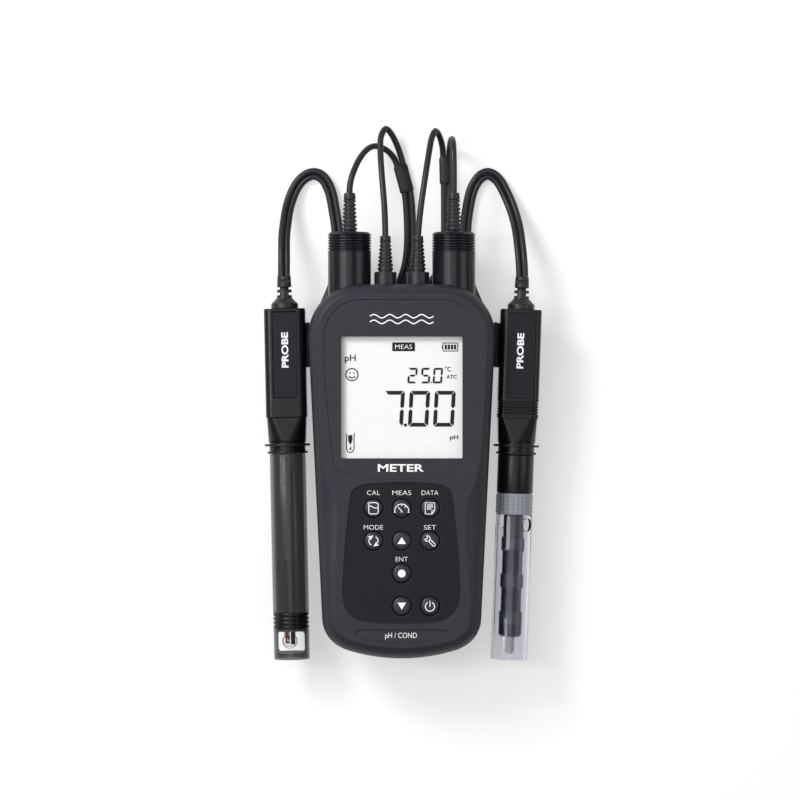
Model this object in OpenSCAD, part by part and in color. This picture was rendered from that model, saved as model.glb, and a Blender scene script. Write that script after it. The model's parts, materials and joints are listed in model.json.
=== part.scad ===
// Handheld two-channel water quality meter lying on its back, with a pH probe and a
// conductivity probe clipped to its sides and plugged in at its top end.
// X across the meter, Y towards the connectors, Z out of the display, millimetres.

/* [Case] */
// Length of the meter
case_len = 160; // [158:1:162]
// Thickness of the meter from its back to its face
case_t = 38; // [37.5:0.5:39]
// Height of the joint between the two case halves
part_z = 20.9; // [20.5:0.1:21.5]
// Height of the underside of the thin head
head_under_z = 14.5; // [14:0.5:15]
// Outside corner radius at the head
head_r = 22.3; // [21.8:0.1:22.6]
// Wall between the outside and the hollow
wall = 6; // [5:0.5:7]
// Width of the display opening
window_w = 51.6; // [48:0.5:54]
// Height of the display opening
window_h = 51.8; // [48:0.5:54]

/* [Keys] */
// Diameter of a key
key_d = 8.2; // [7:0.1:9]
// Distance between key columns
key_pitch_x = 12; // [11.5:0.1:13]
// Distance between key rows
key_pitch_y = 13.85; // [13:0.05:14.5]
// Gap round a key
key_gap = 0.25; // [0.2:0.05:0.4]

/* [Connectors] */
// Distance of a signal plug from the middle
boot_x = 22.4; // [22:0.1:23]
// Distance of a sensor plug from the middle
jack_x = 7; // [6.8:0.1:7.4]
// Height of all four plugs
plug_z = 22; // [21.5:0.5:22]
// Outside diameter of a signal plug's boot
boot_d = 18.8; // [18:0.1:18.9]

/* [Probes] */
// Height of both probe axes
probe_z = 17; // [16.5:0.5:18]
// Lean of the pH probe towards the meter, in degrees
ph_lean = 1.2; // [0:0.1:1.4]
// Lean of the conductivity probe towards the meter, in degrees
cond_lean = 2; // [0:0.1:2.1]
// Width of a probe head
probe_head_w = 17.6; // [17:0.1:17.8]
// Diameter of a probe's shaft
shaft_d = 15.6; // [15:0.1:15.8]

/* [Leads] */
// Diameter of one lead
lead_d = 2.7; // [2.5:0.1:2.8]
// Radius of the middle of a stored coil's turns
coil_r = 13.35; // [13:0.05:13.4]

/* [Hidden] */
$fn = 64;

case_colour = [0.13, 0.13, 0.15];
black = [0.05, 0.05, 0.06];
rubber_colour = [0.08, 0.08, 0.09];
metal = [0.75, 0.75, 0.77];

// Case outline: head corners, foot corners and chin are tangent arcs
head_x = 17.6;
head_y = case_len / 2 - head_r;
foot_x = 20;
foot_y = -62.6;
foot_r = 14;
chin_r = 78;
chin_y = chin_r - case_len / 2;
lean = atan((head_x + head_r - foot_x - foot_r) / (head_y - foot_y));
foot_a = atan((chin_y - foot_y) / foot_x);

// Connector bay under the front shell's overhanging top edge
bay_y = 74.5;
bay_depth = 20;
bay_top = plug_z + boot_d / 2 + 0.3;
socket_r = 5;
socket_gap = 0.1;
jack_r = 3.2;
pin_r = 1.9;

// Hump of the back that the meter rests on
hump_y = 34;

// Display and keypad
window_y = 31.5;
face_under_z = case_t - 3;
lens_t = 1.6;
key_y = -15.6;
recess = 0.6;
key_r = key_d / 2;
key_top = case_t;
dome_h = 1;
dome_r = (key_r * key_r + dome_h * dome_h) / (2 * dome_h);
flange_t = 1;
mat_z = 31.8;
mat_t = 1.2;
board_z = 28;
board_t = 1.6;

// Case screws up through the back
screw_x = 26.5;
screw_ys = [-66, 12];
screw_r = 1.5;

// Battery bay and kickstand in the hump
door = [42, 54, 2.2];
door_gap = 0.3;
door_y = -58;
door_screw_r = 1.5;
door_screw_head_r = 2.9;
cover_z = 0.5;
cell_d = 14.5;
cell_len = 50.5;
cell_cap_t = 1.2;
cell_x = 8;
cell_y = -30.75;
cell_z = 11;
bay_w = 36;
stand = [40, 24, 2.2];
stand_gap = 0.4;
stand_eye_r = 2;
stand_window = [24, 10];
stand_pin_y = 28;
stand_pin_z = 2.7;
stand_pin_r = 1.2;
stand_y = 5;

// Probe places: top of each head, on its axis
ph_top = [-50.5, 69.7, probe_z];
cond_top = [51.5, 69.3, probe_z];
head_len = 46.8;
probe_head_t = 16;
label_size = [10.4, 36.6, 0.6];
label_s = 1.6;
shaft_r = shaft_d / 2;
ring_1 = 58.2;
ring_2 = 61.8;
ring_t = 0.9;
cone_end = 57.2;
shaft_s = 62.6;
neck_r = 6.4;
spigot_gap = 0.3;
rail = [9.6, 3.8, 16];
rail_s = 7.5;
holder_x = 40.05;
holder_y = 44.6;
holder_z = 2.6;
holder_len = 19.4;
relief_len = 14.3;

// pH probe along its axis
ph_tube_end = 130.8;
ph_plug_end = 137.7;
bulb_s = 143.3;
bulb_r = 3.4;
glass_t = 0.5;
stem_r = 2.6;
stem_bore = 2.1;
stem_start = 67.6;
plug_rings = 3;
cap_end = 151;
cap_inner_r = 6.8;
// Windows through the guard cap, front and back
cap_window = [11.5, 9.1];
cap_window_s = 143.45;
// The glass stem, its bulb and the reference rod stand a little off the probe's axis
core_x = -0.7;
element_r = 0.95;
element_x = core_x - 1;
element_start = 108;
sensor_r = 0.9;
sensor_x = 0.8;
sensor_y = 4.6;

// Conductivity probe along its axis
cond_body_end = 79;
knurl_end = 88.3;
guard_end = 150.7;
guard_inner_r = 6.8;
guard_hole_s = 92.5;
guard_hole_r = 2.9;
stem_low_r = 4.35;
stem_band_r = 4.85;
stem_end = 139.6;
tip_end = 146.8;

// Stored coils under the head, centred on each side
coil_x = 19.4;
coil_y = 56;
coil_w = 4 * lead_d;
coil_h = 5 * lead_d;

// Routes of the leads: the pair leaves a probe, lies on the table and runs under the head
left_run = [[-50.8, 84.15, 17], [-50.8, 87, 16.9], [-50.8, 92, 16], [-50.9, 100, 12.5],
            [-50.4, 107, 8.5], [-49.2, 115, 4.5], [-46.6, 122.4, 2.2], [-43, 127.2, 1.5],
            [-38.3, 129.2, 1.4], [-34, 127, 1.4], [-31, 121, 1.4], [-29.4, 113, 1.4],
            [-28.2, 105, 1.4], [-28, 97, 1.4]];
right_run = [[52, 83.75, 17], [51.9, 87, 16.9], [51.6, 92, 16], [50.9, 100, 12.5],
             [49.9, 107, 8.5], [47.8, 114.6, 4.8], [44.9, 121.6, 2.2], [41.8, 126.8, 1.5],
             [37.6, 129.2, 1.4], [33.6, 127, 1.4], [30.6, 121.5, 1.4], [28.8, 113, 1.4],
             [27.9, 105, 1.4], [28, 97, 1.4]];
// Below the head one lead of each pair stays low and the other climbs onto the coil
low_in = [[-29.4, 97, 1.4], [-30, 88, 1.4], [-31, 80.5, 1.4], [-35.8, 67.5, 1.4]];
high_in = [[-26.6, 97, 1.4], [-27.6, 89, 3.2], [-30.2, 80, 6.6], [-34.8, 68, 11.2]];
// From the coils to the sleeves where the pairs split
left_out = [[-3.3, 66, 6.7], [-2.9, 71, 5], [-0.8, 79, 2], [2, 87, 1.4], [3.3, 94, 1.4],
            [3.7, 102, 1.4], [3.4, 112, 1.4], [2.5, 121, 1.8]];
right_out = [[3.3, 66, 6.7], [5.4, 72, 4.8], [10.4, 78, 2.2], [16, 84.5, 1.4], [18.8, 92, 1.4],
             [19.7, 102, 1.4], [19.8, 114, 1.4], [19.7, 124.5, 1.8]];
left_sleeve = [[2.5, 121, 1.8], [-0.7, 133, 1.8]];
right_sleeve = [[19.7, 124.5, 1.8], [19.4, 136.5, 1.8]];
// From the sleeves to the plugs
left_signal_tail = [[-2, 132.8, 1.8], [-3.2, 135.7, 2.2], [-6.1, 138.9, 3.8], [-10.7, 140.8, 7],
                    [-14.6, 139.3, 11.5], [-18.3, 134.4, 16.8], [-21.2, 127.4, 21.2],
                    [-22.3, 122.4, 21.95], [-22.4, 119.45, 22]];
left_sensor_tail = [[0.6, 133.4, 1.8], [-0.4, 137, 2.2], [-1.8, 141, 3.3], [-4.2, 145.8, 5.2],
                    [-6.9, 148.4, 7.5], [-9, 144.5, 10.6], [-9.2, 138, 13.6], [-8.6, 128, 18],
                    [-7.4, 113, 21.7], [-7, 101, 22]];
right_signal_tail = [[20.7, 136.5, 1.8], [20.9, 139.5, 3.2], [21.3, 142.6, 7], [21.7, 143.5, 12],
                     [22.1, 142, 17], [22.3, 137.5, 20.8], [22.4, 130.5, 22], [22.4, 119.45, 22]];
right_sensor_tail = [[18.1, 136.5, 1.8], [17.8, 140.5, 3], [16.5, 145.2, 5.4], [14.6, 147.4, 8],
                     [12.9, 143.5, 11], [11.9, 138, 13.8], [10.2, 127, 18.4], [8.2, 113, 21.7],
                     [7, 101, 22]];

// ---- outlines and helpers ----

function arc(cx, cy, r, a0, a1, n) =
    [for (i = [0:n]) let (a = a0 + (a1 - a0) * i / n) [cx + r * cos(a), cy + r * sin(a)]];
function right_side(inset) = concat(
    arc(0, chin_y, chin_r - inset, -90, -foot_a, 6),
    arc(foot_x, foot_y, foot_r - inset, -foot_a, -lean, 8),
    arc(head_x, head_y, head_r - inset, -lean, 90, 14));
function case_points(inset) = let (p = right_side(inset))
    concat(p, [for (i = [len(p) - 1:-1:1]) [-p[i][0], p[i][1]]]);

module case_slab(inset, z, t = 0.2) {
    translate([0, 0, z]) linear_extrude(t) polygon(case_points(inset));
}

module hump_slab(inset, z, end_y) {
    translate([0, 0, z]) linear_extrude(0.2) intersection() {
        polygon(case_points(inset));
        translate([-case_len, end_y - 2 * case_len]) square(2 * case_len);
    }
}

module rounded_rect(w, h, r) {
    square([w - 2 * r, h], center = true);
    square([w, h - 2 * r], center = true);
    for (sx = [-1, 1], sy = [-1, 1])
        translate([sx * (w / 2 - r), sy * (h / 2 - r)]) circle(r);
}

module along_y(x, y, z) {
    translate([x, y, z]) rotate([-90, 0, 0]) children();
}

// Local frame of a probe: its axis is local Z from the head's top towards the tip
module on_ph() {
    translate(ph_top) rotate([0, 0, ph_lean]) rotate([90, 0, 0]) children();
}

module on_cond() {
    translate(cond_top) rotate([0, 0, -cond_lean]) rotate([90, 0, 0]) children();
}

function unit(v) = v / norm(v);
function tangent(p, i) = unit(p[min(i + 1, len(p) - 1)] - p[max(i - 1, 0)]);

// An eight-sided tube of width w and height h along points p; side is a direction that
// the route never runs along, used to set the tube's width axis
module tube(p, w, h, side = [0, 0, 1]) {
    n = 8;
    rings = [for (i = [0:len(p) - 1])
        let (t = tangent(p, i), a = unit(cross(side, t)), b = cross(t, a))
        for (k = [0:n - 1]) let (q = 360 * (k + 0.5) / n)
            p[i] + a * (w / 2 * cos(q)) + b * (h / 2 * sin(q))];
    last = (len(p) - 1) * n;
    faces = concat(
        [[for (k = [0:n - 1]) k]],
        [for (i = [0:len(p) - 2], k = [0:n - 1])
            [i * n + k, (i + 1) * n + k, (i + 1) * n + (k + 1) % n, i * n + (k + 1) % n]],
        [[for (k = [n - 1:-1:0]) last + k]]);
    polyhedron(rings, faces, convexity = 6);
}

module pair_tube(p) {
    tube(p, 2 * lead_d, lead_d);
}

module lead_tube(p, side = [0, 0, 1]) {
    tube(p, lead_d, lead_d, side);
}

// ---- meter ----

module connector_bay() {
    translate([-case_len / 2, bay_y, -1]) cube([case_len, bay_depth, bay_top + 1]);
}

module socket_holes() {
    for (s = [-1, 1]) {
        along_y(s * boot_x, 60, plug_z) cylinder(r = socket_r + socket_gap, h = bay_depth);
        along_y(s * jack_x, 60, plug_z) cylinder(r = jack_r + socket_gap, h = bay_depth);
    }
}

module hollow(z0, z1, inset) {
    translate([0, 0, z0]) linear_extrude(z1 - z0) intersection() {
        polygon(case_points(inset));
        translate([-case_len / 2, bay_y - 3 - 2 * case_len]) square([case_len, 2 * case_len]);
    }
}

module each_key() {
    for (c = [-1, 0, 1], r = [0, 1, 2, 3])
        if (r < 2 || c == 0 || (r == 3 && c == 1))
            translate([c * key_pitch_x, key_y - r * key_pitch_y, 0]) children();
}

module keypad_field() {
    polygon([[-20, -4.7], [20, -4.7], [22, -9], [25, -54], [21.5, -64.6], [-21.5, -64.6],
             [-25, -54], [-22, -9]]);
}

module front_case() color(case_colour) difference() {
    hull() {
        case_slab(0, part_z + 0.1, 30.5 - part_z);
        case_slab(0.7, 33.6);
        case_slab(2.4, 36.4);
        case_slab(5.2, case_t - 0.2);
    }
    hollow(part_z - 1, face_under_z, wall);
    translate([0, window_y, face_under_z - 1]) linear_extrude(5)
        rounded_rect(window_w, window_h, 1.2);
    translate([0, window_y, face_under_z - 1]) linear_extrude(1 + lens_t + 0.1)
        rounded_rect(window_w + 5.4, window_h + 5.6, 2);
    translate([0, 0, case_t - recess]) linear_extrude(2) keypad_field();
    translate([0, -69.9, case_t - recess]) linear_extrude(2) rounded_rect(39.2, 5.7, 2.6);
    each_key() translate([0, 0, face_under_z - 1]) cylinder(r = key_r + key_gap, h = 6);
    connector_bay();
    socket_holes();
}

module rear_case() color(case_colour) difference() {
    union() {
        hull() {
            case_slab(6, head_under_z);
            case_slab(2.4, 16.6);
            case_slab(0.4, 19.4);
            case_slab(0, part_z - 0.2);
        }
        hull() {
            hump_slab(9, 0, hump_y - 2);
            hump_slab(7.4, 1.2, hump_y - 0.8);
            hump_slab(3.4, 13, hump_y);
            hump_slab(1.4, 18, hump_y);
        }
    }
    hollow(head_under_z + 2.5, part_z + 1, wall);
    translate([0, 0, 6]) linear_extrude(part_z) intersection() {
        polygon(case_points(wall + 5));
        translate([-case_len / 2, hump_y - 4 - case_len]) square([case_len, case_len]);
    }
    translate([-door[0] / 2 - door_gap, door_y - door_gap, -1])
        cube([door[0] + 2 * door_gap, door[1] + 2 * door_gap, 4]);
    translate([-bay_w / 2, door_y + 0.7, 0]) cube([bay_w, door[1] - 2, 10]);
    translate([-stand[0] / 2 - stand_gap, stand_y - stand_gap, -1])
        cube([stand[0] + 2 * stand_gap, stand_pin_y - stand_y + 2.8, 4.4]);
    translate([0, stand_pin_y, stand_pin_z]) rotate([0, 90, 0])
        cylinder(r = stand_eye_r + stand_gap, h = stand[0] + 2 * stand_gap, center = true);
    translate([0, stand_pin_y, stand_pin_z]) rotate([0, 90, 0])
        cylinder(r = stand_pin_r, h = stand[0] + 8, center = true);
    for (s = [-1, 1]) {
        translate([s * 37.5, 53.5, 17.5]) cube([9.2, 17.2, 4.2], center = true);
        for (y = screw_ys) translate([s * screw_x, y, -1]) cylinder(r = screw_r + 0.1, h = 8);
    }
    connector_bay();
    socket_holes();
}

module case_gasket() color(black)
    translate([0, 0, part_z + 0.02]) linear_extrude(0.06) intersection() {
        difference() {
            polygon(case_points(2));
            polygon(case_points(3.4));
        }
        translate([-case_len / 2, bay_y - 1 - 2 * case_len]) square([case_len, 2 * case_len]);
    }

module display_window() color([0.8, 0.85, 0.9, 0.3])
    translate([0, window_y, face_under_z]) linear_extrude(lens_t)
        rounded_rect(window_w + 5, window_h + 5.2, 1.8);

module lcd_panel() color([0.8, 0.82, 0.8])
    translate([-29, window_y - 29, face_under_z - 3.3]) cube([58, 58, 3.2]);

module main_board() color([0.1, 0.3, 0.15]) difference() {
    union() {
        translate([-26, -62, board_z]) cube([52, 128, board_t]);
        translate([-12, -48, board_z - 2]) cube([24, 14, 2]);
        translate([-18, 4, board_z - 2.6]) cube([36, 22, 2.6]);
    }
    for (s = [-1, 1], y = [-58, 62]) translate([s * 22, y, board_z - 1]) cylinder(r = 1.6, h = 4);
}

module keypad_mat() color([0.2, 0.2, 0.22]) difference() {
    translate([-23, -63, mat_z]) cube([46, 57, mat_t]);
    each_key() translate([0, 0, mat_z - 1]) cylinder(r = 2.6, h = mat_t + 2);
}

module key_at(c, r) color([0.16, 0.16, 0.18])
    translate([c * key_pitch_x, key_y - r * key_pitch_y, 0]) {
        intersection() {
            translate([0, 0, face_under_z - flange_t]) cylinder(r = key_r, h = 6);
            translate([0, 0, key_top - dome_r]) sphere(dome_r);
        }
        translate([0, 0, face_under_z - 0.1 - flange_t]) cylinder(r = key_r + 1.1, h = flange_t);
        translate([0, 0, board_z + board_t + 0.9]) cylinder(r = 2, h = 3.6);
    }

module key_cal() key_at(-1, 0);
module key_meas() key_at(0, 0);
module key_data() key_at(1, 0);
module key_mode() key_at(-1, 1);
module key_up() key_at(0, 1);
module key_set() key_at(1, 1);
module key_enter() key_at(0, 2);
module key_down() key_at(0, 3);
module key_power() key_at(1, 3);

module door_screw_places() {
    for (y = [door_y + 4, door_y + door[1] - 4]) translate([0, y, 0]) children();
}

module battery_door() color(case_colour) difference() {
    translate([-door[0] / 2, door_y, cover_z]) linear_extrude(door[2])
        translate([door[0] / 2, door[1] / 2]) rounded_rect(door[0], door[1], 2);
    door_screw_places() {
        translate([0, 0, -1]) cylinder(r = door_screw_r + 0.2, h = 6);
        translate([0, 0, -1]) cylinder(r = door_screw_head_r + 0.2, h = 2.7);
    }
}

module battery_door_screws() color(metal) door_screw_places() difference() {
    union() {
        translate([0, 0, cover_z + 0.1]) cylinder(r = door_screw_head_r, h = 1);
        translate([0, 0, cover_z + 1]) cylinder(r = door_screw_r, h = 3.6);
    }
    translate([-3.5, -0.4, cover_z - 0.1]) cube([7, 0.8, 0.8]);
}

module aa_cells() for (s = [-1, 1]) along_y(s * cell_x, cell_y - s * 0.1, cell_z) {
    color([0.2, 0.25, 0.3]) translate([0, 0, -cell_len / 2])
        cylinder(d = cell_d, h = cell_len - cell_cap_t);
    color(metal) translate([0, 0, cell_len / 2 - cell_cap_t - 0.1])
        cylinder(d = 5.5, h = cell_cap_t);
}

module battery_contacts() color(metal) {
    contact_t = 0.4;
    contact_h = 8;
    for (s = [-1, 1]) translate([s * cell_x - 5, -4.6, 7]) cube([10, contact_t, contact_h]);
    translate([-13, -57.4, 7]) cube([26, contact_t, contact_h]);
}

module case_screws() color(metal) for (s = [-1, 1], y = screw_ys) translate([s * screw_x, y, 4.4])
    difference() {
        cylinder(r = screw_r, h = 2);
        translate([0, 0, -0.4]) cylinder(r = 0.8, h = 1, $fn = 6);
    }

module kickstand() color(case_colour) difference() {
    union() {
        translate([-stand[0] / 2, stand_y, cover_z])
            cube([stand[0], stand_pin_y - stand_y, stand[2]]);
        translate([0, stand_pin_y, stand_pin_z]) rotate([0, 90, 0])
            cylinder(r = stand_eye_r, h = stand[0], center = true);
    }
    translate([0, stand_pin_y, stand_pin_z]) rotate([0, 90, 0])
        cylinder(r = stand_pin_r + 0.05, h = stand[0] + 2, center = true);
    translate([-9, stand_y - 1, cover_z - 1]) cube([18, 4, 2]);
    translate([-stand_window[0] / 2, stand_y + 6, -1]) cube([stand_window[0], stand_window[1], 6]);
}

module kickstand_pin() color(metal)
    translate([0, stand_pin_y, stand_pin_z]) rotate([0, 90, 0])
        cylinder(r = stand_pin_r - 0.01, h = stand[0] + 7, center = true);

module signal_sockets() color(metal) for (s = [-1, 1]) along_y(s * boot_x, 0, plug_z) difference() {
    union() {
        translate([0, 0, 68]) cylinder(r = socket_r, h = 17);
        translate([0, 0, bay_y + 0.1]) cylinder(r = 6.8, h = 1.6, $fn = 6);
        translate([0, 0, 81]) rotate([90, 0, 0]) cylinder(r = 0.7, h = 10.4, center = true);
    }
    translate([0, 0, 76]) cylinder(r = socket_r - 1.2, h = 10);
}

module sensor_jacks() color(metal) for (s = [-1, 1]) along_y(s * jack_x, 0, plug_z) difference() {
    union() {
        translate([0, 0, 62]) cylinder(r = jack_r, h = bay_y + 0.9 - 62);
        translate([0, 0, bay_y + 0.1]) cylinder(r = jack_r + 1, h = 0.8);
    }
    translate([0, 0, 63]) cylinder(r = pin_r + 0.1, h = 20);
}

// A tongue into the side of the case, a wall down beside the probe and a channel under the
// probe head for the head's rail
module probe_holder(channel_x) color(black) {
    gap = rail[0] / 2 + 0.9;
    lip = 1.4;
    wall_t = 1.1;
    floor_t = 2;
    tongue = [8, 16.8, 3.8];
    translate([holder_x + wall_t - tongue[0], holder_y + 0.5, 15.6]) cube(tongue);
    translate([holder_x, holder_y, holder_z]) cube([wall_t, holder_len, 17]);
    translate([holder_x, holder_y, holder_z])
        cube([channel_x + gap + lip - holder_x, holder_len, floor_t]);
    for (x = [channel_x - gap - lip, channel_x + gap])
        translate([x, holder_y, holder_z + floor_t - 1]) cube([lip, holder_len, 4]);
}

module left_probe_holder() mirror([1, 0, 0]) probe_holder(50.2);
module right_probe_holder() probe_holder(51);

// ---- probes ----

module probe_head_block() {
    difference() {
        union() {
            linear_extrude(head_len) rounded_rect(probe_head_w, probe_head_t, 3);
            translate([0, 0, head_len - 0.1]) cylinder(r = shaft_r + 0.5, h = 0.5);
            translate([-rail[0] / 2, -probe_head_t / 2 - rail[1] + 0.2, rail_s])
                cube([rail[0], rail[1], rail[2]]);
        }
        translate([-label_size[0] / 2, probe_head_t / 2 - label_size[2], label_s])
            cube([label_size[0], 2, label_size[1]]);
    }
    hull() {
        translate([0, 0, head_len]) linear_extrude(0.4)
            rounded_rect(probe_head_w - 1, probe_head_t - 1, 3.5);
        translate([0, 0, cone_end - 0.4]) cylinder(r = shaft_r + 0.3, h = 0.4);
    }
    translate([0, 0, cone_end - 0.2]) cylinder(r = shaft_r, h = shaft_s - cone_end + 0.1);
    translate([0, 0, shaft_s - 0.2]) cylinder(r = neck_r, h = 5);
}

module label_plate() {
    translate([-label_size[0] / 2 + 0.1, probe_head_t / 2 - label_size[2] + 0.02, label_s + 0.1])
        cube([label_size[0] - 0.2, label_size[2] - 0.2, label_size[1] - 0.2]);
}

module stop_rings() {
    for (r = [[ring_1, 9.9], [ring_2 - 0.4, 8.7]]) translate([0, 0, r[0]]) difference() {
        cylinder(r = r[1], h = ring_t);
        translate([0, 0, -1]) cylinder(r = shaft_r + 0.02, h = 3);
    }
}

module probe_relief() {
    difference() {
        union() {
            translate([0, 0, -2.2]) cylinder(r = 5.8, h = 2.18);
            translate([0, 0, -4.7]) cylinder(r1 = 3.1, r2 = 5.8, h = 2.6);
            translate([0, 0, -8.3]) cylinder(r = 3.2, h = 3.8);
            translate([0, 0, -9.6]) cylinder(r = 1.9, h = 2);
            translate([0, 0, -relief_len]) cylinder(r = 3.1, h = 5);
        }
        for (s = [-1, 1]) {
            translate([s * 2.6, 0, -6.6]) cube([1.2, 8, 1.2], center = true);
            translate([s * 2.5, 0, -12.4]) cube([1.2, 8, 1.2], center = true);
        }
    }
}

module ph_probe_head() color(black) on_ph() probe_head_block();
module ph_label_plate() color([0.18, 0.19, 0.24]) on_ph() label_plate();
module ph_stop_rings() color(black) on_ph() stop_rings();
module ph_strain_relief() color(rubber_colour) on_ph() probe_relief();

module ph_probe_body() color([0.12, 0.12, 0.13, 0.6]) on_ph() translate([0, 0, shaft_s])
    difference() {
        cylinder(r = shaft_r, h = ph_tube_end - shaft_s);
        translate([0, 0, -1]) cylinder(r = shaft_r - 1.3, h = 100);
    }

module ph_inner_stem() color([0.6, 0.6, 0.62, 0.5]) on_ph() translate([core_x, 0, stem_start])
    difference() {
        cylinder(r = stem_r, h = bulb_s - 4 - stem_start);
        translate([0, 0, -1]) cylinder(r = stem_bore, h = 100);
    }

module ph_junction_plug() color(black) on_ph() difference() {
    union() {
        translate([0, 0, ph_tube_end + 0.1])
            cylinder(r = shaft_r - 0.1, h = ph_plug_end - ph_tube_end - 0.1);
        translate([0, 0, ph_plug_end - 0.1]) cylinder(r = cap_inner_r - spigot_gap, h = 1.2);
    }
    for (k = [0:plug_rings - 1]) translate([0, 0, ph_tube_end + 1.4 + 1.8 * k]) difference() {
        cylinder(r = shaft_r + 1, h = 0.7);
        cylinder(r = shaft_r - 0.5, h = 0.7);
    }
    translate([core_x, 0, ph_tube_end - 1]) cylinder(r = stem_r + 0.05, h = 12);
    translate([sensor_x, sensor_y, ph_tube_end - 1]) cylinder(r = sensor_r + 0.05, h = 12);
}

module ph_glass_bulb() color([0.85, 0.9, 0.9, 0.4]) on_ph() translate([core_x, 0, 0]) difference() {
    union() {
        translate([0, 0, bulb_s]) sphere(bulb_r);
        translate([0, 0, bulb_s - 3.9]) cylinder(r = stem_r, h = 2);
    }
    translate([0, 0, bulb_s]) sphere(bulb_r - glass_t);
    translate([0, 0, bulb_s - 5]) cylinder(r = stem_bore, h = 4);
}

module ph_reference_element() color([0.45, 0.12, 0.08]) on_ph()
    translate([element_x, 0, element_start])
        cylinder(r = element_r, h = bulb_s + 1 - element_start);

module ph_temperature_sensor() color(black) on_ph()
    translate([sensor_x, sensor_y, ph_tube_end + 0.4]) cylinder(r = sensor_r, h = 13.2);

module ph_guard_cap() color([0.3, 0.3, 0.33, 0.5]) on_ph() difference() {
    translate([0, 0, ph_plug_end + 0.1])
        cylinder(r = shaft_r - 0.1, h = cap_end - ph_plug_end - 0.1);
    translate([0, 0, ph_plug_end - 1]) cylinder(r = cap_inner_r, h = 20);
    translate([0, cap_end / 2, cap_window_s]) rotate([90, 0, 0]) linear_extrude(cap_end)
        rounded_rect(cap_window[0], cap_window[1], 1.2);
}

module cond_probe_head() color(black) on_cond() difference() {
    probe_head_block();
    for (k = [0:4]) translate([0, 0, 39.4 + 1.2 * k]) difference() {
        translate([-12, -12, 0]) cube([24, 24, 0.5]);
        translate([0, 0, -1]) linear_extrude(3) rounded_rect(probe_head_w - 0.8, probe_head_t - 0.8, 2.6);
    }
}

module cond_label_plate() color([0.18, 0.19, 0.24]) on_cond() label_plate();
module cond_stop_rings() color(black) on_cond() stop_rings();
module cond_strain_relief() color(rubber_colour) on_cond() probe_relief();

module cond_probe_body() color(black) on_cond() difference() {
    union() {
        translate([0, 0, shaft_s]) cylinder(r = shaft_r, h = cond_body_end - shaft_s);
        translate([0, 0, cond_body_end - 1]) cylinder(r = guard_inner_r - spigot_gap, h = 9);
    }
    translate([0, 0, shaft_s - 1]) cylinder(r = neck_r + 0.05, h = 6.2);
}

module cond_stem() color([0.32, 0.35, 0.4]) on_cond() {
    translate([0, 0, cond_body_end + 8.1]) cylinder(r = stem_low_r, h = 45);
    for (b = [98.4, 114]) translate([0, 0, b]) cylinder(r = stem_band_r, h = 5.8);
    translate([0, 0, 130]) cylinder(r = stem_band_r + 0.05, h = stem_end - 130);
    translate([0, 0, stem_end - 0.1]) cylinder(r1 = stem_band_r + 0.05, r2 = 3.9, h = 1.2);
}

module cond_sensor_tip() color([0.7, 0.7, 0.7]) on_cond() {
    translate([0, 0, stem_end + 1.2]) cylinder(r = 2, h = tip_end - stem_end - 1.2);
    translate([0, 0, tip_end - 0.1]) cylinder(r1 = 2, r2 = 0.9, h = 1.4);
}

module cond_knurled_ring() color([0.85, 0.85, 0.88, 0.5]) on_cond() difference() {
    translate([0, 0, cond_body_end + 0.1]) cylinder(r = 8, h = knurl_end - cond_body_end - 0.12);
    translate([0, 0, cond_body_end - 1]) cylinder(r = guard_inner_r, h = 20);
    for (k = [0:3]) translate([0, 0, cond_body_end + 1.7 + 1.8 * k]) difference() {
        cylinder(r = 9, h = 0.4);
        cylinder(r = 7.7, h = 0.4);
    }
}

module cond_guard_tube() color([0.88, 0.88, 0.92, 0.35]) on_cond() difference() {
    translate([0, 0, knurl_end]) cylinder(r = 7.9, h = guard_end - knurl_end);
    translate([0, 0, knurl_end - 1]) cylinder(r = guard_inner_r, h = 70);
    for (a = [-48, 132]) rotate([0, 0, a]) translate([0, 4, guard_hole_s])
        rotate([-90, 0, 0]) cylinder(r = guard_hole_r, h = 5);
}

// ---- plugs, boots and leads ----

module signal_boot(s) color(black) along_y(s * boot_x, 0, plug_z) difference() {
    union() {
        translate([0, 0, 75]) cylinder(d = boot_d, h = 26.4);
        translate([0, 0, 101.3]) cylinder(r1 = boot_d / 2, r2 = boot_d / 2 - 1, h = 1.1);
    }
    translate([0, 0, 74]) cylinder(r = 8, h = 26.9);
    translate([0, 0, 90]) cylinder(r = 3.9, h = 20);
    for (k = [0:6]) translate([0, 0, 94.4 + k]) difference() {
        cylinder(r = 10, h = 0.45);
        cylinder(r = boot_d / 2 - 0.45, h = 0.45);
    }
}

module ribbed_relief(y0, y1, r0, r1, ribs) {
    step = (y1 - y0) / ribs;
    translate([0, 0, y0]) cylinder(r1 = r0 - 0.6, r2 = r1 - 0.6, h = y1 - y0);
    for (k = [0:ribs - 1]) let (r = r0 + (r1 - r0) * k / (ribs - 1))
        translate([0, 0, y0 + step * (k + 0.35)]) cylinder(r = r, h = step * 0.6);
}

module signal_plug(s) color(rubber_colour) along_y(s * boot_x, 0, plug_z) {
    difference() {
        translate([0, 0, 77]) cylinder(r = 7, h = 14);
        translate([0, 0, 76]) cylinder(r = 5.4, h = 14);
    }
    translate([0, 0, 88]) cylinder(r = 3.4, h = 3);
    translate([0, 0, 90.5]) cylinder(r = 7.95, h = 10.3);
    translate([0, 0, 100.7]) cylinder(r1 = 3.8, r2 = 3.4, h = 2.4);
    ribbed_relief(103, 116.6, 3.3, 2.6, 8);
    translate([0, 0, 116.5]) cylinder(r = 2.6, h = 2.9);
}

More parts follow.
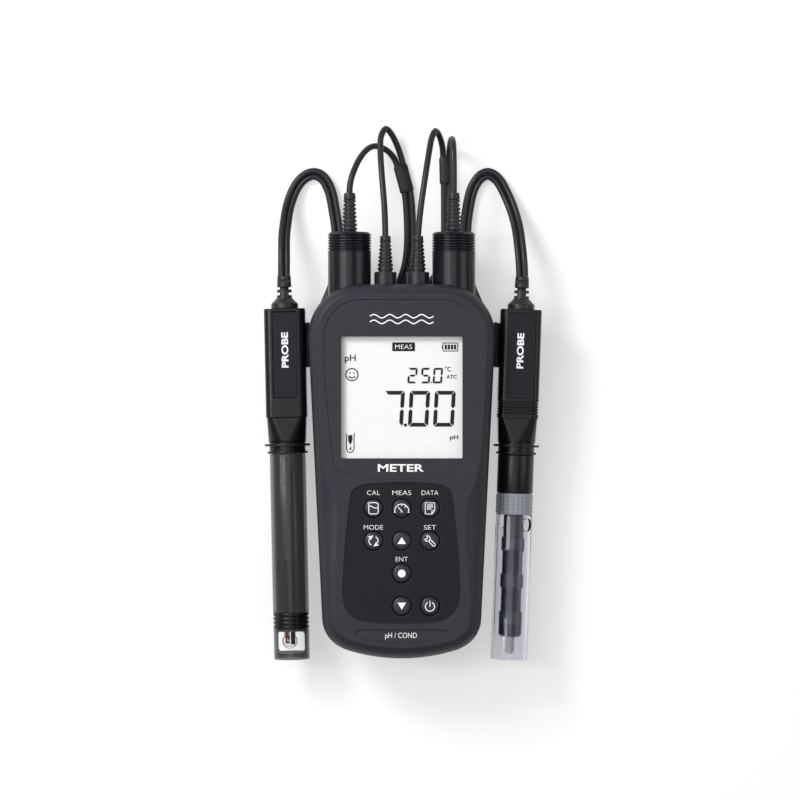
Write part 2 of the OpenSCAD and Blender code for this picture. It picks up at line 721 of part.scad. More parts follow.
module sensor_plug(s) color(rubber_colour) along_y(s * jack_x, 0, plug_z) {
    translate([0, 0, 64]) cylinder(r = pin_r, h = 13);
    translate([0, 0, bay_y + 1.1]) cylinder(r = 4.85, h = 85.5 - bay_y - 1.1);
    translate([0, 0, 85.4]) cylinder(r1 = 4.4, r2 = 3.2, h = 2.8);
    ribbed_relief(88, 99, 3.1, 2.4, 7);
    translate([0, 0, 98.9]) cylinder(r = 2.3, h = 2);
}

module left_signal_boot() signal_boot(-1);
module right_signal_boot() signal_boot(1);
module left_signal_plug() signal_plug(-1);
module right_signal_plug() signal_plug(1);
module left_sensor_plug() sensor_plug(-1);
module right_sensor_plug() sensor_plug(1);

module left_lead_run() color(rubber_colour) {
    pair_tube(left_run);
    lead_tube(low_in);
    lead_tube(high_in);
}

module right_lead_run() color(rubber_colour) {
    pair_tube(right_run);
    mirror([1, 0, 0]) lead_tube(low_in);
    mirror([1, 0, 0]) lead_tube(high_in);
}

module lead_coils() color(rubber_colour) for (s = [-1, 1]) translate([s * coil_x, coil_y, 0])
    rotate_extrude() translate([coil_r - coil_w / 2, 0]) square([coil_w, coil_h]);

module sleeve(p) {
    v = p[1] - p[0];
    translate([p[0][0], p[0][1], 0]) rotate([0, 0, atan2(v[1], v[0]) - 90])
        rotate([-90, 0, 0]) translate([0, -p[0][2], 0]) linear_extrude(norm(v))
            rounded_rect(2 * lead_d + 0.9, lead_d + 0.8, 1.7);
}

module split_sleeves() color(black) {
    sleeve(left_sleeve);
    sleeve(right_sleeve);
}

module left_lead_tails() color(rubber_colour) {
    pair_tube(left_out);
    lead_tube(left_signal_tail);
    lead_tube(left_sensor_tail);
}

module right_lead_tails() color(rubber_colour) {
    pair_tube(right_out);
    lead_tube(right_signal_tail, [1, 0, 0]);
    lead_tube(right_sensor_tail);
}

front_case();
rear_case();
case_gasket();
display_window();
lcd_panel();
main_board();
keypad_mat();
key_cal();
key_meas();
key_data();
key_mode();
key_up();
key_set();
key_enter();
key_down();
key_power();
battery_door();
aa_cells();
battery_contacts();
case_screws();
battery_door_screws();
kickstand();
kickstand_pin();
signal_sockets();
sensor_jacks();
left_probe_holder();
right_probe_holder();
ph_probe_head();
ph_label_plate();
ph_probe_body();
ph_stop_rings();
ph_inner_stem();
ph_junction_plug();
ph_glass_bulb();
ph_reference_element();
ph_temperature_sensor();
ph_guard_cap();
ph_strain_relief();
cond_probe_head();
cond_label_plate();
cond_probe_body();
cond_stop_rings();
cond_stem();
cond_sensor_tip();
cond_knurled_ring();
cond_guard_tube();
cond_strain_relief();
left_signal_boot();
right_signal_boot();
left_signal_plug();
right_signal_plug();
left_sensor_plug();
right_sensor_plug();
left_lead_run();
right_lead_run();
lead_coils();
split_sleeves();
left_lead_tails();
right_lead_tails();
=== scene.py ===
"""Handheld water quality meter with a pH probe and a conductivity probe, seen from above."""
import json
import math
from math import cos, pi, radians, sin

import bmesh
import bpy
from mathutils import Matrix, Vector


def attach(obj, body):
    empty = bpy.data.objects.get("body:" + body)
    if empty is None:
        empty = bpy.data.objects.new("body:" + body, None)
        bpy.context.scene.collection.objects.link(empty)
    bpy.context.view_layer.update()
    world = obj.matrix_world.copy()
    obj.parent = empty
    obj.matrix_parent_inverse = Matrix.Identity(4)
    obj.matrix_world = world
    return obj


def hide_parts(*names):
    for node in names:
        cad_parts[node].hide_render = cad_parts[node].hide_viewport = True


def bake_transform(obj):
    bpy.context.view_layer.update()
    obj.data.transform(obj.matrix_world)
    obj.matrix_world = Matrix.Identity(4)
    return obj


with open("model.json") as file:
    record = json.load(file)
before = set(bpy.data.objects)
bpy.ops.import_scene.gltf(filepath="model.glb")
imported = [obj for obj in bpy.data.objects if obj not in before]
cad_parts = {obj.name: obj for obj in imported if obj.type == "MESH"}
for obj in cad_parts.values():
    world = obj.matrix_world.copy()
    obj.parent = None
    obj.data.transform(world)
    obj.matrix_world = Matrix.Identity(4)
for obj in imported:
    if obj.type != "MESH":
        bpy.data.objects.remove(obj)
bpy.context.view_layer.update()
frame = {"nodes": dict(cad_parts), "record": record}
SLOTS = {row["node"]: row["material_slot"] for row in frame["record"]["subparts"]}

# ---- driving sizes, in millimetres, as in the CAD design ----

MM = 0.001
CASE_T = 38.0
PART_Z = 20.9
HEAD_R, HEAD_X = 22.3, 17.6
CASE_LEN = 160.0
HEAD_Y = CASE_LEN / 2 - HEAD_R
FOOT_X, FOOT_Y, FOOT_R = 20.0, -62.6, 14.0
CHIN_R = 78.0
CHIN_Y = CHIN_R - CASE_LEN / 2
WALL = 6.0
FACE_UNDER_Z = CASE_T - 3
WINDOW_W, WINDOW_H, WINDOW_Y = 51.6, 51.8, 31.5
KEY_R, KEY_GAP, KEY_Y = 4.1, 0.25, -15.6
KEY_PITCH_X, KEY_PITCH_Y = 12.0, 13.85
BOOT_X, JACK_X, PLUG_Z = 22.4, 7.0, 22.0
PANEL_DEPTH, KEYPAD_DEPTH, LABEL_DEPTH = 0.3, 0.6, 0.45
BEYOND = 90  # farther than any side of the case
BAY_Y = 74.5
BAY_TOP = PLUG_Z + 9.4 + 0.3
PH_TOP, PH_LEAN = (-50.5, 69.7, 17.0), 1.2
COND_TOP, COND_LEAN = (51.5, 69.3, 17.0), -2.0
SHAFT_R = 7.8
LEAD_D = 2.7
COIL_X, COIL_Y, COIL_R = 19.4, 56.0, 13.35

# ---- camera ----

CAMERA_UP = 1322.0
LENS = 136.05
SENSOR = 36.0
VIEW_CENTRE = (-0.73, 30.4)


def linked(name, data):
    """A new object in the scene."""
    thing = bpy.data.objects.new(name, data)
    bpy.context.scene.collection.objects.link(thing)
    return thing


def make_camera():
    data = bpy.data.cameras.new("camera")
    data.lens = LENS
    data.sensor_width = SENSOR
    data.clip_start = 0.05
    camera = linked("camera", data)
    camera.location = Vector((*VIEW_CENTRE, CAMERA_UP)) * MM
    bpy.context.scene.camera = camera


# ---- materials ----


def new_material(name):
    m = bpy.data.materials.new(name)
    m.use_nodes = True
    tree = m.node_tree
    return m, tree, tree.nodes["Principled BSDF"]


def noise(tree, scale, detail=2.0, rough=0.5):
    n = tree.nodes.new("ShaderNodeTexNoise")
    n.inputs["Scale"].default_value = scale
    n.inputs["Detail"].default_value = detail
    n.inputs["Roughness"].default_value = rough
    place = tree.nodes.new("ShaderNodeTexCoord").outputs["Object"]
    tree.links.new(place, n.inputs["Vector"])
    return n.outputs["Fac"]


def ramp(tree, source, low, high, start=0.3, end=0.7):
    r = tree.nodes.new("ShaderNodeValToRGB")
    r.color_ramp.elements[0].position = start
    r.color_ramp.elements[0].color = (*low, 1)
    r.color_ramp.elements[1].position = end
    r.color_ramp.elements[1].color = (*high, 1)
    tree.links.new(source, r.inputs["Fac"])
    return r.outputs["Color"]


def uneven(tree, shader, scale, low, high):
    """Roughness that wanders between two values."""
    rough = ramp(tree, noise(tree, scale, 3.0), (low,) * 3, (high,) * 3)
    tree.links.new(rough, shader.inputs["Roughness"])


def bump(tree, shader, height, strength, distance):
    b = tree.nodes.new("ShaderNodeBump")
    b.inputs["Strength"].default_value = strength
    b.inputs["Distance"].default_value = distance
    tree.links.new(height, b.inputs["Height"])
    tree.links.new(b.outputs["Normal"], shader.inputs["Normal"])


def moulded(name, colour, rough, grain=2600.0, depth=0.00004, mottle=0.05, gloss=0.3):
    """Moulded plastic or rubber: fine grain, faint mottling and uneven gloss."""
    m, tree, shader = new_material(name)
    low = tuple(c * (1 - mottle) for c in colour)
    high = tuple(c * (1 + mottle) for c in colour)
    tree.links.new(ramp(tree, noise(tree, 260.0, 4.0), low, high), shader.inputs["Base Color"])
    uneven(tree, shader, 420.0, rough - 0.025, rough + 0.025)
    bump(tree, shader, noise(tree, grain, 2.0), 0.35, depth)
    shader.inputs["Specular IOR Level"].default_value = gloss
    return m


def metal(name, colour, rough):
    m, tree, shader = new_material(name)
    shader.inputs["Metallic"].default_value = 1.0
    shader.inputs["Base Color"].default_value = (*colour, 1)
    uneven(tree, shader, 900.0, rough * 0.75, rough * 1.3)
    bump(tree, shader, noise(tree, 1800.0), 0.1, 0.00002)
    return m


def clear(name, colour, rough, transmission=1.0, ior=1.45, alpha=1.0):
    """Clear or tinted moulded plastic or glass with faint flow marks."""
    m, tree, shader = new_material(name)
    shader.inputs["Base Color"].default_value = (*colour, 1)
    shader.inputs["Transmission Weight"].default_value = transmission
    shader.inputs["IOR"].default_value = ior
    uneven(tree, shader, 500.0, rough * 0.6, rough * 1.6)
    bump(tree, shader, noise(tree, 140.0, 1.0), 0.04, 0.00008)
    shader.inputs["Alpha"].default_value = alpha
    return m


def make_materials():
    return {
        "case": moulded("case_plastic", (0.0215, 0.0215, 0.0295), 0.46, 3400.0, 0.00004,
                        gloss=0.22),
        # darker plastic for the keypad recess floor: partly the keypad's own duller finish,
        # partly painted shade standing in for the lower face getting less light
        "panel": moulded("panel_plastic_and_painted_shade", (0.0085, 0.0085, 0.012), 0.42, 3800.0, 0.00003,
                         gloss=0.14),
        "gasket": moulded("gasket_rubber", (0.02, 0.02, 0.02), 0.7),
        "lens": clear("window_acrylic", (0.02, 0.02, 0.02), 0.015, 0.0, 1.3, 0.04),
        "board": moulded("solder_mask", (0.02, 0.12, 0.05), 0.35),
        "silicone": moulded("keypad_silicone", (0.05, 0.05, 0.055), 0.6),
        "key": moulded("key_rubber", (0.018, 0.018, 0.025), 0.36, 3200.0, 0.00002),
        "cell_sleeve": moulded("cell_sleeve", (0.05, 0.07, 0.1), 0.25),
        "spring_steel": metal("plated_steel", (0.6, 0.6, 0.6), 0.3),
        "socket_metal": metal("nickel", (0.7, 0.69, 0.66), 0.22),
        "holder": moulded("holder_plastic", (0.008, 0.008, 0.01), 0.4),
        "probe_black": moulded("probe_plastic", (0.0045, 0.0045, 0.0065), 0.28, 2400.0,
                               0.00001, gloss=0.24),
        "label": moulded("label_film", (0.006, 0.0065, 0.0125), 0.36, 1500.0, 0.000005,
                         gloss=0.18),
        "ring": moulded("ring_rubber", (0.006, 0.006, 0.007), 0.42),
        "smoky_tube": clear("smoky_plastic", (0.014, 0.014, 0.016), 0.18, 0.0, 1.4, 0.58),
        "stem_glass": clear("electrode_glass", (0.93, 0.95, 0.95), 0.03, 1.0, 1.5),
        "reference": moulded("reference_gel", (0.3, 0.04, 0.015), 0.3),
        "smoky_guard": clear("smoky_guard", (0.045, 0.045, 0.052), 0.1, 0.0, 1.4, 0.66),
        "cond_stem_grey": moulded("stem_plastic", (0.028, 0.031, 0.045), 0.34),
        "stem_band": moulded("stem_band_plastic", (0.06, 0.068, 0.09), 0.36),
        "tip": moulded("tip_ceramic", (0.46, 0.46, 0.45), 0.5),
        "clear_guard": clear("clear_plastic", (0.87, 0.87, 0.915), 0.04, 1.0, 1.35),
        "relief": moulded("relief_rubber", (0.015, 0.015, 0.02), 0.36),
        "boot": moulded("boot_plastic", (0.006, 0.006, 0.0095), 0.24, 2400.0, 0.000004),
        "lead": moulded("lead_jacket", (0.0155, 0.0155, 0.0205), 0.38, 1400.0, 0.00002),
        "sleeve": moulded("shrink_sleeve", (0.01, 0.01, 0.013), 0.42, 900.0, 0.00003),
        "lcd": moulded("lcd_glass", (0.87, 0.88, 0.87), 0.4, 900.0, 0.00001, 0.02, 0.15),
        "ink": moulded("white_ink", (0.86, 0.86, 0.86), 0.5, 3000.0, 0.00001, 0.03),
        "segment": moulded("lcd_ink", (0.018, 0.018, 0.02), 0.5, 3000.0, 0.00001, 0.03, 0.1),
        "ring_clear": clear("ring_plastic", (0.3, 0.31, 0.36), 0.22, 0.0, 1.45, 0.68),
        "tie": moulded("tie_plastic", (0.01, 0.01, 0.01), 0.4),
    }


def paint_cad_nodes():
    for name, node in frame["nodes"].items():
        material = MATERIALS.get(SLOTS[name])
        if material is None:
            continue
        if not node.material_slots:
            node.data.materials.append(material)
            continue
        for place in node.material_slots:
            place.link = "OBJECT"
            place.material = material


# ---- mesh helpers ----

NOT_IN_RECORD = {"ink", "segment", "tie", "stem_band", "ring_clear"}


def smoothed(mesh, angle):
    """Smooth shading with edges sharper than the angle kept."""
    mesh.shade_smooth()
    mesh.set_sharp_from_angle(angle=radians(angle))


def as_piece(name, mesh, material, body, slot=None):
    """A piece from a finished mesh, with its material and body; the slot is not used."""
    mesh.materials.clear()
    mesh.materials.append(MATERIALS[material])
    piece = linked(name, mesh)
    if body:
        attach(piece, body)
    if (slot or material) not in NOT_IN_RECORD:
        slot or material
    return piece


def new_piece(name, verts, faces, material, body=None, slot=None, smooth=35.0):
    """A mesh in the row frame from points in millimetres."""
    mesh = bpy.data.meshes.new(name)
    mesh.from_pydata([Vector(v) * MM for v in verts], [], faces)
    mesh.validate()
    bm = bmesh.new()
    bm.from_mesh(mesh)
    bmesh.ops.recalc_face_normals(bm, faces=bm.faces)
    bm.to_mesh(mesh)
    bm.free()
    smoothed(mesh, smooth)
    return as_piece(name, mesh, material, body, slot)


def unit(v):
    return v / v.length if v.length > 1e-9 else v


def circle(n):
    """Angles of n points evenly round a circle."""
    return [2 * pi * k / n for k in range(n)]


def between(a, b, c, d, t):
    """The place at t, from 0 at b to 1 at c, on a smooth curve through all four."""
    return 0.5 * (2 * b + (c - a) * t + (2 * a - 5 * b + 4 * c - d) * t * t
                  + (3 * b - a - 3 * c + d) * t ** 3)


def spline(points, step):
    """A smooth curve through points, sampled about every step."""
    p = [Vector(q) for q in points]
    p = [p[0] * 2 - p[1]] + p + [p[-1] * 2 - p[-2]]
    out = []
    for a, b, c, d in zip(p, p[1:], p[2:], p[3:]):
        n = max(1, round((c - b).length / step))
        out += [between(a, b, c, d, i / n) for i in range(n)]
    out.append(p[-2])
    return out


def tangents(points):
    last = len(points) - 1
    return [unit(points[min(i + 1, last)] - points[max(i - 1, 0)]) for i in range(last + 1)]


def lofted(rings, closed=False):
    """Vertices and faces of a solid through rings; closed joins the last to the first."""
    n, count = len(rings[0]), len(rings)
    verts = [v for ring in rings for v in ring]
    faces = []
    if not closed:
        faces = [tuple(range(n - 1, -1, -1)), tuple(range((count - 1) * n, count * n))]
    for j in range(count if closed else count - 1):
        a, b = j * n, (j + 1) % count * n
        faces += [(a + i, a + (i + 1) % n, b + (i + 1) % n, b + i) for i in range(n)]
    return verts, faces


def tube_mesh(points, radius, sides=14):
    """A tube with closed ends along points, turned as little as possible."""
    along = tangents(points)
    across = unit(along[0].cross(Vector((0, 0, 1))))
    rings = []
    for p, t in zip(points, along):
        across = unit(across - t * across.dot(t))
        up = t.cross(across)
        rings.append([p + across * (radius * cos(a)) + up * (radius * sin(a))
                      for a in circle(sides)])
    return lofted(rings)


# ---- leads: the routes are those of the CAD design ----

LEFT_RUN = [(-50.8, 84, 17), (-50.8, 87, 16.9), (-50.8, 92, 16), (-50.9, 100, 12.5),
            (-50.4, 107, 8.5), (-49.2, 115, 4.5), (-46.6, 122.4, 2.2), (-43, 127.2, 1.5),
            (-38.3, 129.2, 1.4), (-34, 127, 1.4), (-31, 121, 1.4), (-29.4, 113, 1.4),
            (-28.2, 105, 1.4), (-28, 97, 1.4)]
RIGHT_RUN = [(52, 83.6, 17), (51.9, 87, 16.9), (51.6, 92, 16), (50.9, 100, 12.5),
             (49.9, 107, 8.5), (47.8, 114.6, 4.8), (44.9, 121.6, 2.2), (41.8, 126.8, 1.5),
             (37.6, 129.2, 1.4), (33.6, 127, 1.4), (30.6, 121.5, 1.4), (28.8, 113, 1.4),
             (27.9, 105, 1.4), (28, 97, 1.4)]
LOW_IN = [(-30, 88, 1.4), (-31, 80.5, 1.4), (-35.2, 70, 1.5), (-36.6, 63, 1.8)]
HIGH_IN = [(-27.6, 89, 3.2), (-30.2, 80, 6.6), (-33.8, 70, 10.8), (-36.3, 62.5, 12.6)]
LEFT_OUT = [(-3.3, 66, 6.7), (-2.9, 71, 5), (-0.8, 79, 2), (2, 87, 1.4), (3.3, 94, 1.4),
            (3.7, 102, 1.4), (3.4, 112, 1.4), (2.5, 121, 1.8), (-0.7, 133, 1.8)]
RIGHT_OUT = [(3.3, 66, 6.7), (5.4, 72, 4.8), (10.4, 78, 2.2), (16, 84.5, 1.4), (18.8, 92, 1.4),
             (19.7, 102, 1.4), (19.8, 114, 1.4), (19.7, 124.5, 1.8), (19.4, 136.5, 1.8)]
LEFT_SIGNAL_TAIL = [(-3.2, 135.7, 2.2), (-6.1, 138.9, 3.8), (-10.7, 140.8, 7),
                    (-14.6, 139.3, 11.5), (-18.3, 134.4, 16.8), (-21.2, 127.4, 21.2),
                    (-22.3, 122.4, 21.95), (-22.4, 119.4, 22), (-22.4, 116, 22)]
LEFT_SENSOR_TAIL = [(-0.4, 137, 2.2), (-1.8, 141, 3.3), (-4.2, 145.8, 5.2), (-6.9, 148.4, 7.5),
                    (-9, 144.5, 10.6), (-9.2, 138, 13.6), (-8.6, 128, 18), (-7.4, 113, 21.7),
                    (-7, 101, 22), (-7, 98, 22)]
RIGHT_SIGNAL_TAIL = [(20.9, 139.5, 3.2), (21.3, 142.6, 7), (21.7, 143.5, 12), (22.1, 142, 17),
                     (22.3, 137.5, 20.8), (22.4, 130.5, 22), (22.4, 119.4, 22),
                     (22.4, 116, 22)]
RIGHT_SENSOR_TAIL = [(17.8, 140.5, 3), (16.5, 145.2, 5.4), (14.6, 147.4, 8), (12.9, 143.5, 11),
                     (11.9, 138, 13.8), (10.2, 127, 18.4), (8.2, 113, 21.7), (7, 101, 22),
                     (7, 98, 22)]
COIL_STEP = 10  # degrees between points of a stored coil
COIL_SHIFT = 40  # degrees over which a turn moves to its next place
COIL_FLOOR = 1.9  # height of the lowest turns' middle
LOW_PLACES = [(0, 3), (0, 2), (0, 1), (0, 0), (1, 0), (1, 1), (1, 2), (1, 3), (2, 3)]
HIGH_PLACES = [(4, 3), (4, 2), (4, 1), (4, 0), (3, 0), (3, 1), (3, 2), (3, 3), (2, 2)]
LEFT_WAY = (-49.4, 84), (-33, 79.9)
RIGHT_WAY = (50.6, 83.6), (33.5, 80.4)


def mirrored(points):
    return [(-x, y, z) for x, y, z in points]


def beside(points, offset, roll):
    """Points moved off a route to one side; roll lifts that side, in degrees."""
    lift = sin(radians(roll)) * offset
    shift = cos(radians(roll)) * offset
    moved = []
    for p, t in zip(points, tangents(points)):
        side = unit(Vector((0, 0, 1)).cross(t))
        moved.append(p + side * shift + Vector((0, 0, lift + abs(lift))))
    return moved


def coil_points(places):
    """A stored coil on the left: it starts at the outer left side and ends on the right
    side half a turn after its last move."""
    def place(k):
        row, column = places[k]
        return COIL_R + (column - 1.5) * LEAD_D, COIL_FLOOR + row * LEAD_D

    points = []
    turns = len(places) - 1
    for i in range(0, turns * 360 + 180 + 1, COIL_STEP):
        k, within = divmod(i, 360)
        r, z = place(k)
        start = 360 - COIL_SHIFT
        if within > start and k < turns:
            t = (within - start) / COIL_SHIFT
            s = t * t * (3 - 2 * t)
            next_r, next_z = place(k + 1)
            bulge = 1.5 * sin(pi * t) if abs(next_r - r) < 0.1 else 0.0
            inner = r < COIL_R
            r += (next_r - r) * s + (-bulge if inner else bulge)
            z += (next_z - z) * s
        a = radians(180 + i)
        points.append((-COIL_X + r * cos(a), COIL_Y + r * sin(a), z))
    return points


def lead_route(run, way_in, places, out, tail, side, left):
    """One lead from its probe to its plug. side is +1 or -1, which side of the pair."""
    flip = 1 if left else -1
    run_points = beside(spline(run, 2.0), side * flip * LEAD_D / 2, 22 * flip)
    coil = coil_points(places)
    if not left:
        way_in, coil = mirrored(way_in), mirrored(coil)
    out_points = beside(spline(out, 4.0), side * flip * LEAD_D / 2, 0)
    whole = run_points + [Vector(p) for p in way_in + coil] + out_points
    whole += [Vector(p) for p in tail]
    return spline(whole, 1.6)


def make_lead(name, route, replaced, extra):
    """One lead as a tube along its route, in place of the CAD nodes it replaces."""
    verts, faces = tube_mesh(route, LEAD_D / 2)
    lead = new_piece(name, verts, faces, "lead")
    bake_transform(lead)
    path = [tuple(p * MM) for p in route]
    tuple(path[0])
    if replaced:
        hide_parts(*replaced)


def polar(cx, cy, r, a0, a1, n):
    """Points along an arc, from angle a0 to a1 in n steps."""
    angles = [radians(a0 + (a1 - a0) * i / n) for i in range(n + 1)]
    return [(cx + r * cos(a), cy + r * sin(a)) for a in angles]


def rect(x0, x1, y0, y1):
    return [(x0, y0), (x1, y0), (x1, y1), (x0, y1)]


def shifted(points, dx, dy):
    return [(x + dx, y + dy) for x, y in points]


def ray(angle):
    """Cosine and sine of an angle in degrees."""
    return cos(radians(angle)), sin(radians(angle))


def rounded_loop(w, h, r, n=6):
    """Points round a rounded rectangle centred on the origin."""
    points = []
    for x, y, a0 in ((1, 1, 0), (-1, 1, 90), (-1, -1, 180), (1, -1, 270)):
        points += polar(x * (w / 2 - r), y * (h / 2 - r), r, a0, a0 + 90, n)
    return points


def make_sleeve(name, start, end):
    """A shrink sleeve round both leads, with its ends pulled in."""
    a, b = Vector(start), Vector(end)
    length = (b - a).length
    along = unit(b - a)
    across = unit(Vector((0, 0, 1)).cross(along))
    up = along.cross(across)
    profile = [(-0.1, 0.55), (0.25, 0.9), (0.8, 1.0)]
    profile += [(2 + k * 2.1, 1.0 - 0.015 * (k % 2)) for k in range(4)]
    profile += [(length - 0.8, 1.0), (length - 0.25, 0.92), (length + 0.1, 0.55)]
    half_width, half_height = LEAD_D + 0.42, LEAD_D / 2 + 0.4
    rings = []
    for s, grow in profile:
        ring = []
        for q in circle(40):
            y = math.copysign(abs(sin(q)) ** 0.7, sin(q)) * half_height
            ring.append(a + along * s + (across * (cos(q) * half_width) + up * y) * grow)
        rings.append(ring)
    return new_piece(name, *lofted(rings), "sleeve", "meter")


def make_tie(name, side, angle):
    """A thin strap round a stored coil."""
    a = radians(angle)
    out = Vector((cos(a), sin(a), 0))
    along = Vector((-sin(a), cos(a), 0))
    low = COIL_FLOOR - LEAD_D / 2
    height = 5 * LEAD_D
    centre = Vector((side * COIL_X, COIL_Y, low + height / 2)) + out * COIL_R
    loops = []
    for grow, half in ((0.03, 1.25), (0.38, 1.4), (0.38, -1.4), (0.03, -1.25)):
        loop = rounded_loop(4 * LEAD_D + 2 * grow, height + 2 * grow, 1.3)
        loops.append([centre + out * x + Vector((0, 0, z)) + along * half for x, z in loop])
    return new_piece(name, *lofted(loops, True), "tie", "meter", "sleeve")


def make_leads():
    sleeves = {name: make_sleeve(f"{name}_split_sleeve", out[-2], out[-1])
               for name, out in (("left", LEFT_OUT), ("right", RIGHT_OUT))}
    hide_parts("split_sleeves")
    ties = {name: [make_tie(f"{name}_coil_tie_{i}", side, angle)
                   for i, angle in enumerate((90, 270))]
            for name, side in (("left", -1), ("right", 1))}
    for name, probe, way, run, out, sensor_tail, signal_tail, replaced in (
            ("left", "ph_probe", LEFT_WAY, LEFT_RUN, LEFT_OUT, LEFT_SENSOR_TAIL,
             LEFT_SIGNAL_TAIL, ["left_lead_run", "left_lead_tails", "lead_coils"]),
            ("right", "cond_probe", RIGHT_WAY, RIGHT_RUN, RIGHT_OUT, RIGHT_SENSOR_TAIL,
             RIGHT_SIGNAL_TAIL, ["right_lead_run", "right_lead_tails"])):
        left = name == "left"
        sensor = lead_route(run, LOW_IN, LOW_PLACES, out, sensor_tail, -1, left)
        make_lead(f"{name}_sensor_lead", sensor, replaced,
                  [sleeves[name], *ties[name]])
        signal = lead_route(run, HIGH_IN, HIGH_PLACES, out, signal_tail, 1, left)
        make_lead(f"{name}_signal_lead", signal, [], [])


# ---- shaping helpers ----


def bare(name, verts, faces):
    """A plain object used only while shaping others."""
    mesh = bpy.data.meshes.new(name)
    mesh.from_pydata([Vector(v) for v in verts], [], faces)
    bm = bmesh.new()
    bm.from_mesh(mesh)
    bmesh.ops.remove_doubles(bm, verts=bm.verts, dist=1e-5)
    bmesh.ops.recalc_face_normals(bm, faces=bm.faces)
    bm.to_mesh(mesh)
    bm.free()
    return linked(name, mesh)


def shaped(thing):
    """The object's mesh with its modifiers applied."""
    graph = bpy.context.evaluated_depsgraph_get()
    return bpy.data.meshes.new_from_object(thing.evaluated_get(graph))


def discard(*things):
    for thing in things:
        bpy.data.objects.remove(thing, do_unlink=True)


def combine(thing, tools, operation="DIFFERENCE"):
    for tool in tools:
        step = thing.modifiers.new("combine", "BOOLEAN")
        step.operation = operation
        step.solver = "EXACT"
        step.object = tool
    thing.data = shaped(thing)
    thing.modifiers.clear()
    discard(*tools)


def finish_piece(thing, name, material, body, width=0.25, replaced=(), smooth=32.0, tidy=0.3):
    """Rounds the edges of a shaped object in millimetres and makes it a piece."""
    bm = bmesh.new()
    bm.from_mesh(thing.data)
    bmesh.ops.remove_doubles(bm, verts=bm.verts, dist=0.004)
    bmesh.ops.dissolve_limit(bm, angle_limit=radians(tidy), verts=bm.verts, edges=bm.edges)
    bm.to_mesh(thing.data)
    bm.free()
    if width:
        edge = thing.modifiers.new("edge", "BEVEL")
        edge.width = width
        edge.segments = 2
        edge.limit_method = "ANGLE"
        edge.angle_limit = radians(smooth)
        edge.use_clamp_overlap = False
        edge.miter_outer = "MITER_ARC"
        thing.data.shade_smooth()
        even = thing.modifiers.new("even", "WEIGHTED_NORMAL")
        even.keep_sharp = True
    mesh = shaped(thing)
    discard(thing)
    mesh.transform(Matrix.Scale(MM, 4))
    if not width:
        smoothed(mesh, smooth)
    piece = as_piece(name, mesh, material, body)
    if replaced:
        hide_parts(*replaced)
    return piece


def prism(points, z0, z1):
    return lofted([[(x, y, z) for x, y in points] for z in (z0, z1)])


def cutter(points, z0, z1):
    return bare("cut", *prism(points, z0, z1))


def box_cutter(x0, x1, y0, y1, z0, z1):
    return cutter(rect(x0, x1, y0, y1), z0, z1)


def eased(profile, r, closed=False):
    """A profile of (along, out) points with its corners rounded."""
    n = len(profile)
    out = []
    for i in range(n):
        p = Vector(profile[i])
        if not closed and i in (0, n - 1):
            out.append(tuple(p))
            continue
        a, b = Vector(profile[i - 1]), Vector(profile[(i + 1) % n])
        cut = min(r, 0.45 * (a - p).length, 0.45 * (b - p).length)
        u, v = (a - p).normalized(), (b - p).normalized()
        if u.angle(v, pi) > radians(165):
            out.append(tuple(p))
            continue
        p0, p1 = p + u * cut, p + v * cut
        for t in (0, 0.33, 0.67, 1):
            out.append(tuple(p0 * (1 - t) ** 2 + p * 2 * t * (1 - t) + p1 * t * t))
    return out


def turned(profile, place, closed=False, sides=64):
    """A turned solid from (along, radius) points; closed for a tube or ring."""
    return lofted([[place(r * cos(a), r * sin(a), s) for a in circle(sides)]
                   for s, r in profile], closed)


def probe_place(top, lean):
    c, s = ray(lean)

    def place(x, y, along):
        return (top[0] + x * c + along * s, top[1] + x * s - along * c, top[2] + y)
    return place


def plug_place(x0):
    return lambda x, y, along: (x0 + x, along, PLUG_Z - y)


def upright_place(x0, y0):
    return lambda x, y, along: (x0 + x, y0 + y, along)


PH = probe_place(PH_TOP, PH_LEAN)
COND = probe_place(COND_TOP, COND_LEAN)


def lathe(name, profile, place, material, body, replaced=(), ease=0.3, closed=False,
          holes=(), sides=64, smooth=35.0):
    verts, faces = turned(eased(profile, ease, closed), place, closed, sides)
    thing = bare(name, verts, faces)
    if holes:
        combine(thing, [bare("hole", *hole) for hole in holes])
    return finish_piece(thing, name, material, body, 0.0, replaced, smooth, 0.02)


# ---- case ----

CHIN_A = math.degrees(math.atan((CHIN_Y - FOOT_Y) / FOOT_X))
SIDE_A = math.degrees(math.atan((HEAD_X + HEAD_R - FOOT_X - FOOT_R) / (HEAD_Y - FOOT_Y)))
# Width of the rounded shoulder round the face, by place along the case
SHOULDER = [(-90, 5.3), (-60, 5.3), (-47.5, 6.2), (-38, 7.2), (-29, 8.4), (-17, 9.4),
            (-10, 7.8), (-3, 5.3), (4, 4.2), (15, 3.7), (45, 3.6), (62, 3.9), (80, 4.4),
            (95, 4.4)]
SHOULDER_STEPS = [(30.4, 0), (31.3, 0.02), (32.3, 0.07), (33.4, 0.145), (34.5, 0.24),
                  (35.5, 0.36), (36.3, 0.49), (36.95, 0.63), (37.45, 0.77), (37.8, 0.9),
                  (38.0, 1.0)]


def table_value(table, y):
    for i in range(len(table) - 1):
        if table[i][0] <= y <= table[i + 1][0]:
            break
    p = [table[max(0, i - 1)], table[i], table[i + 1], table[min(len(table) - 1, i + 2)]]
    return between(*(q[1] for q in p), (y - p[1][0]) / (p[2][0] - p[1][0]))


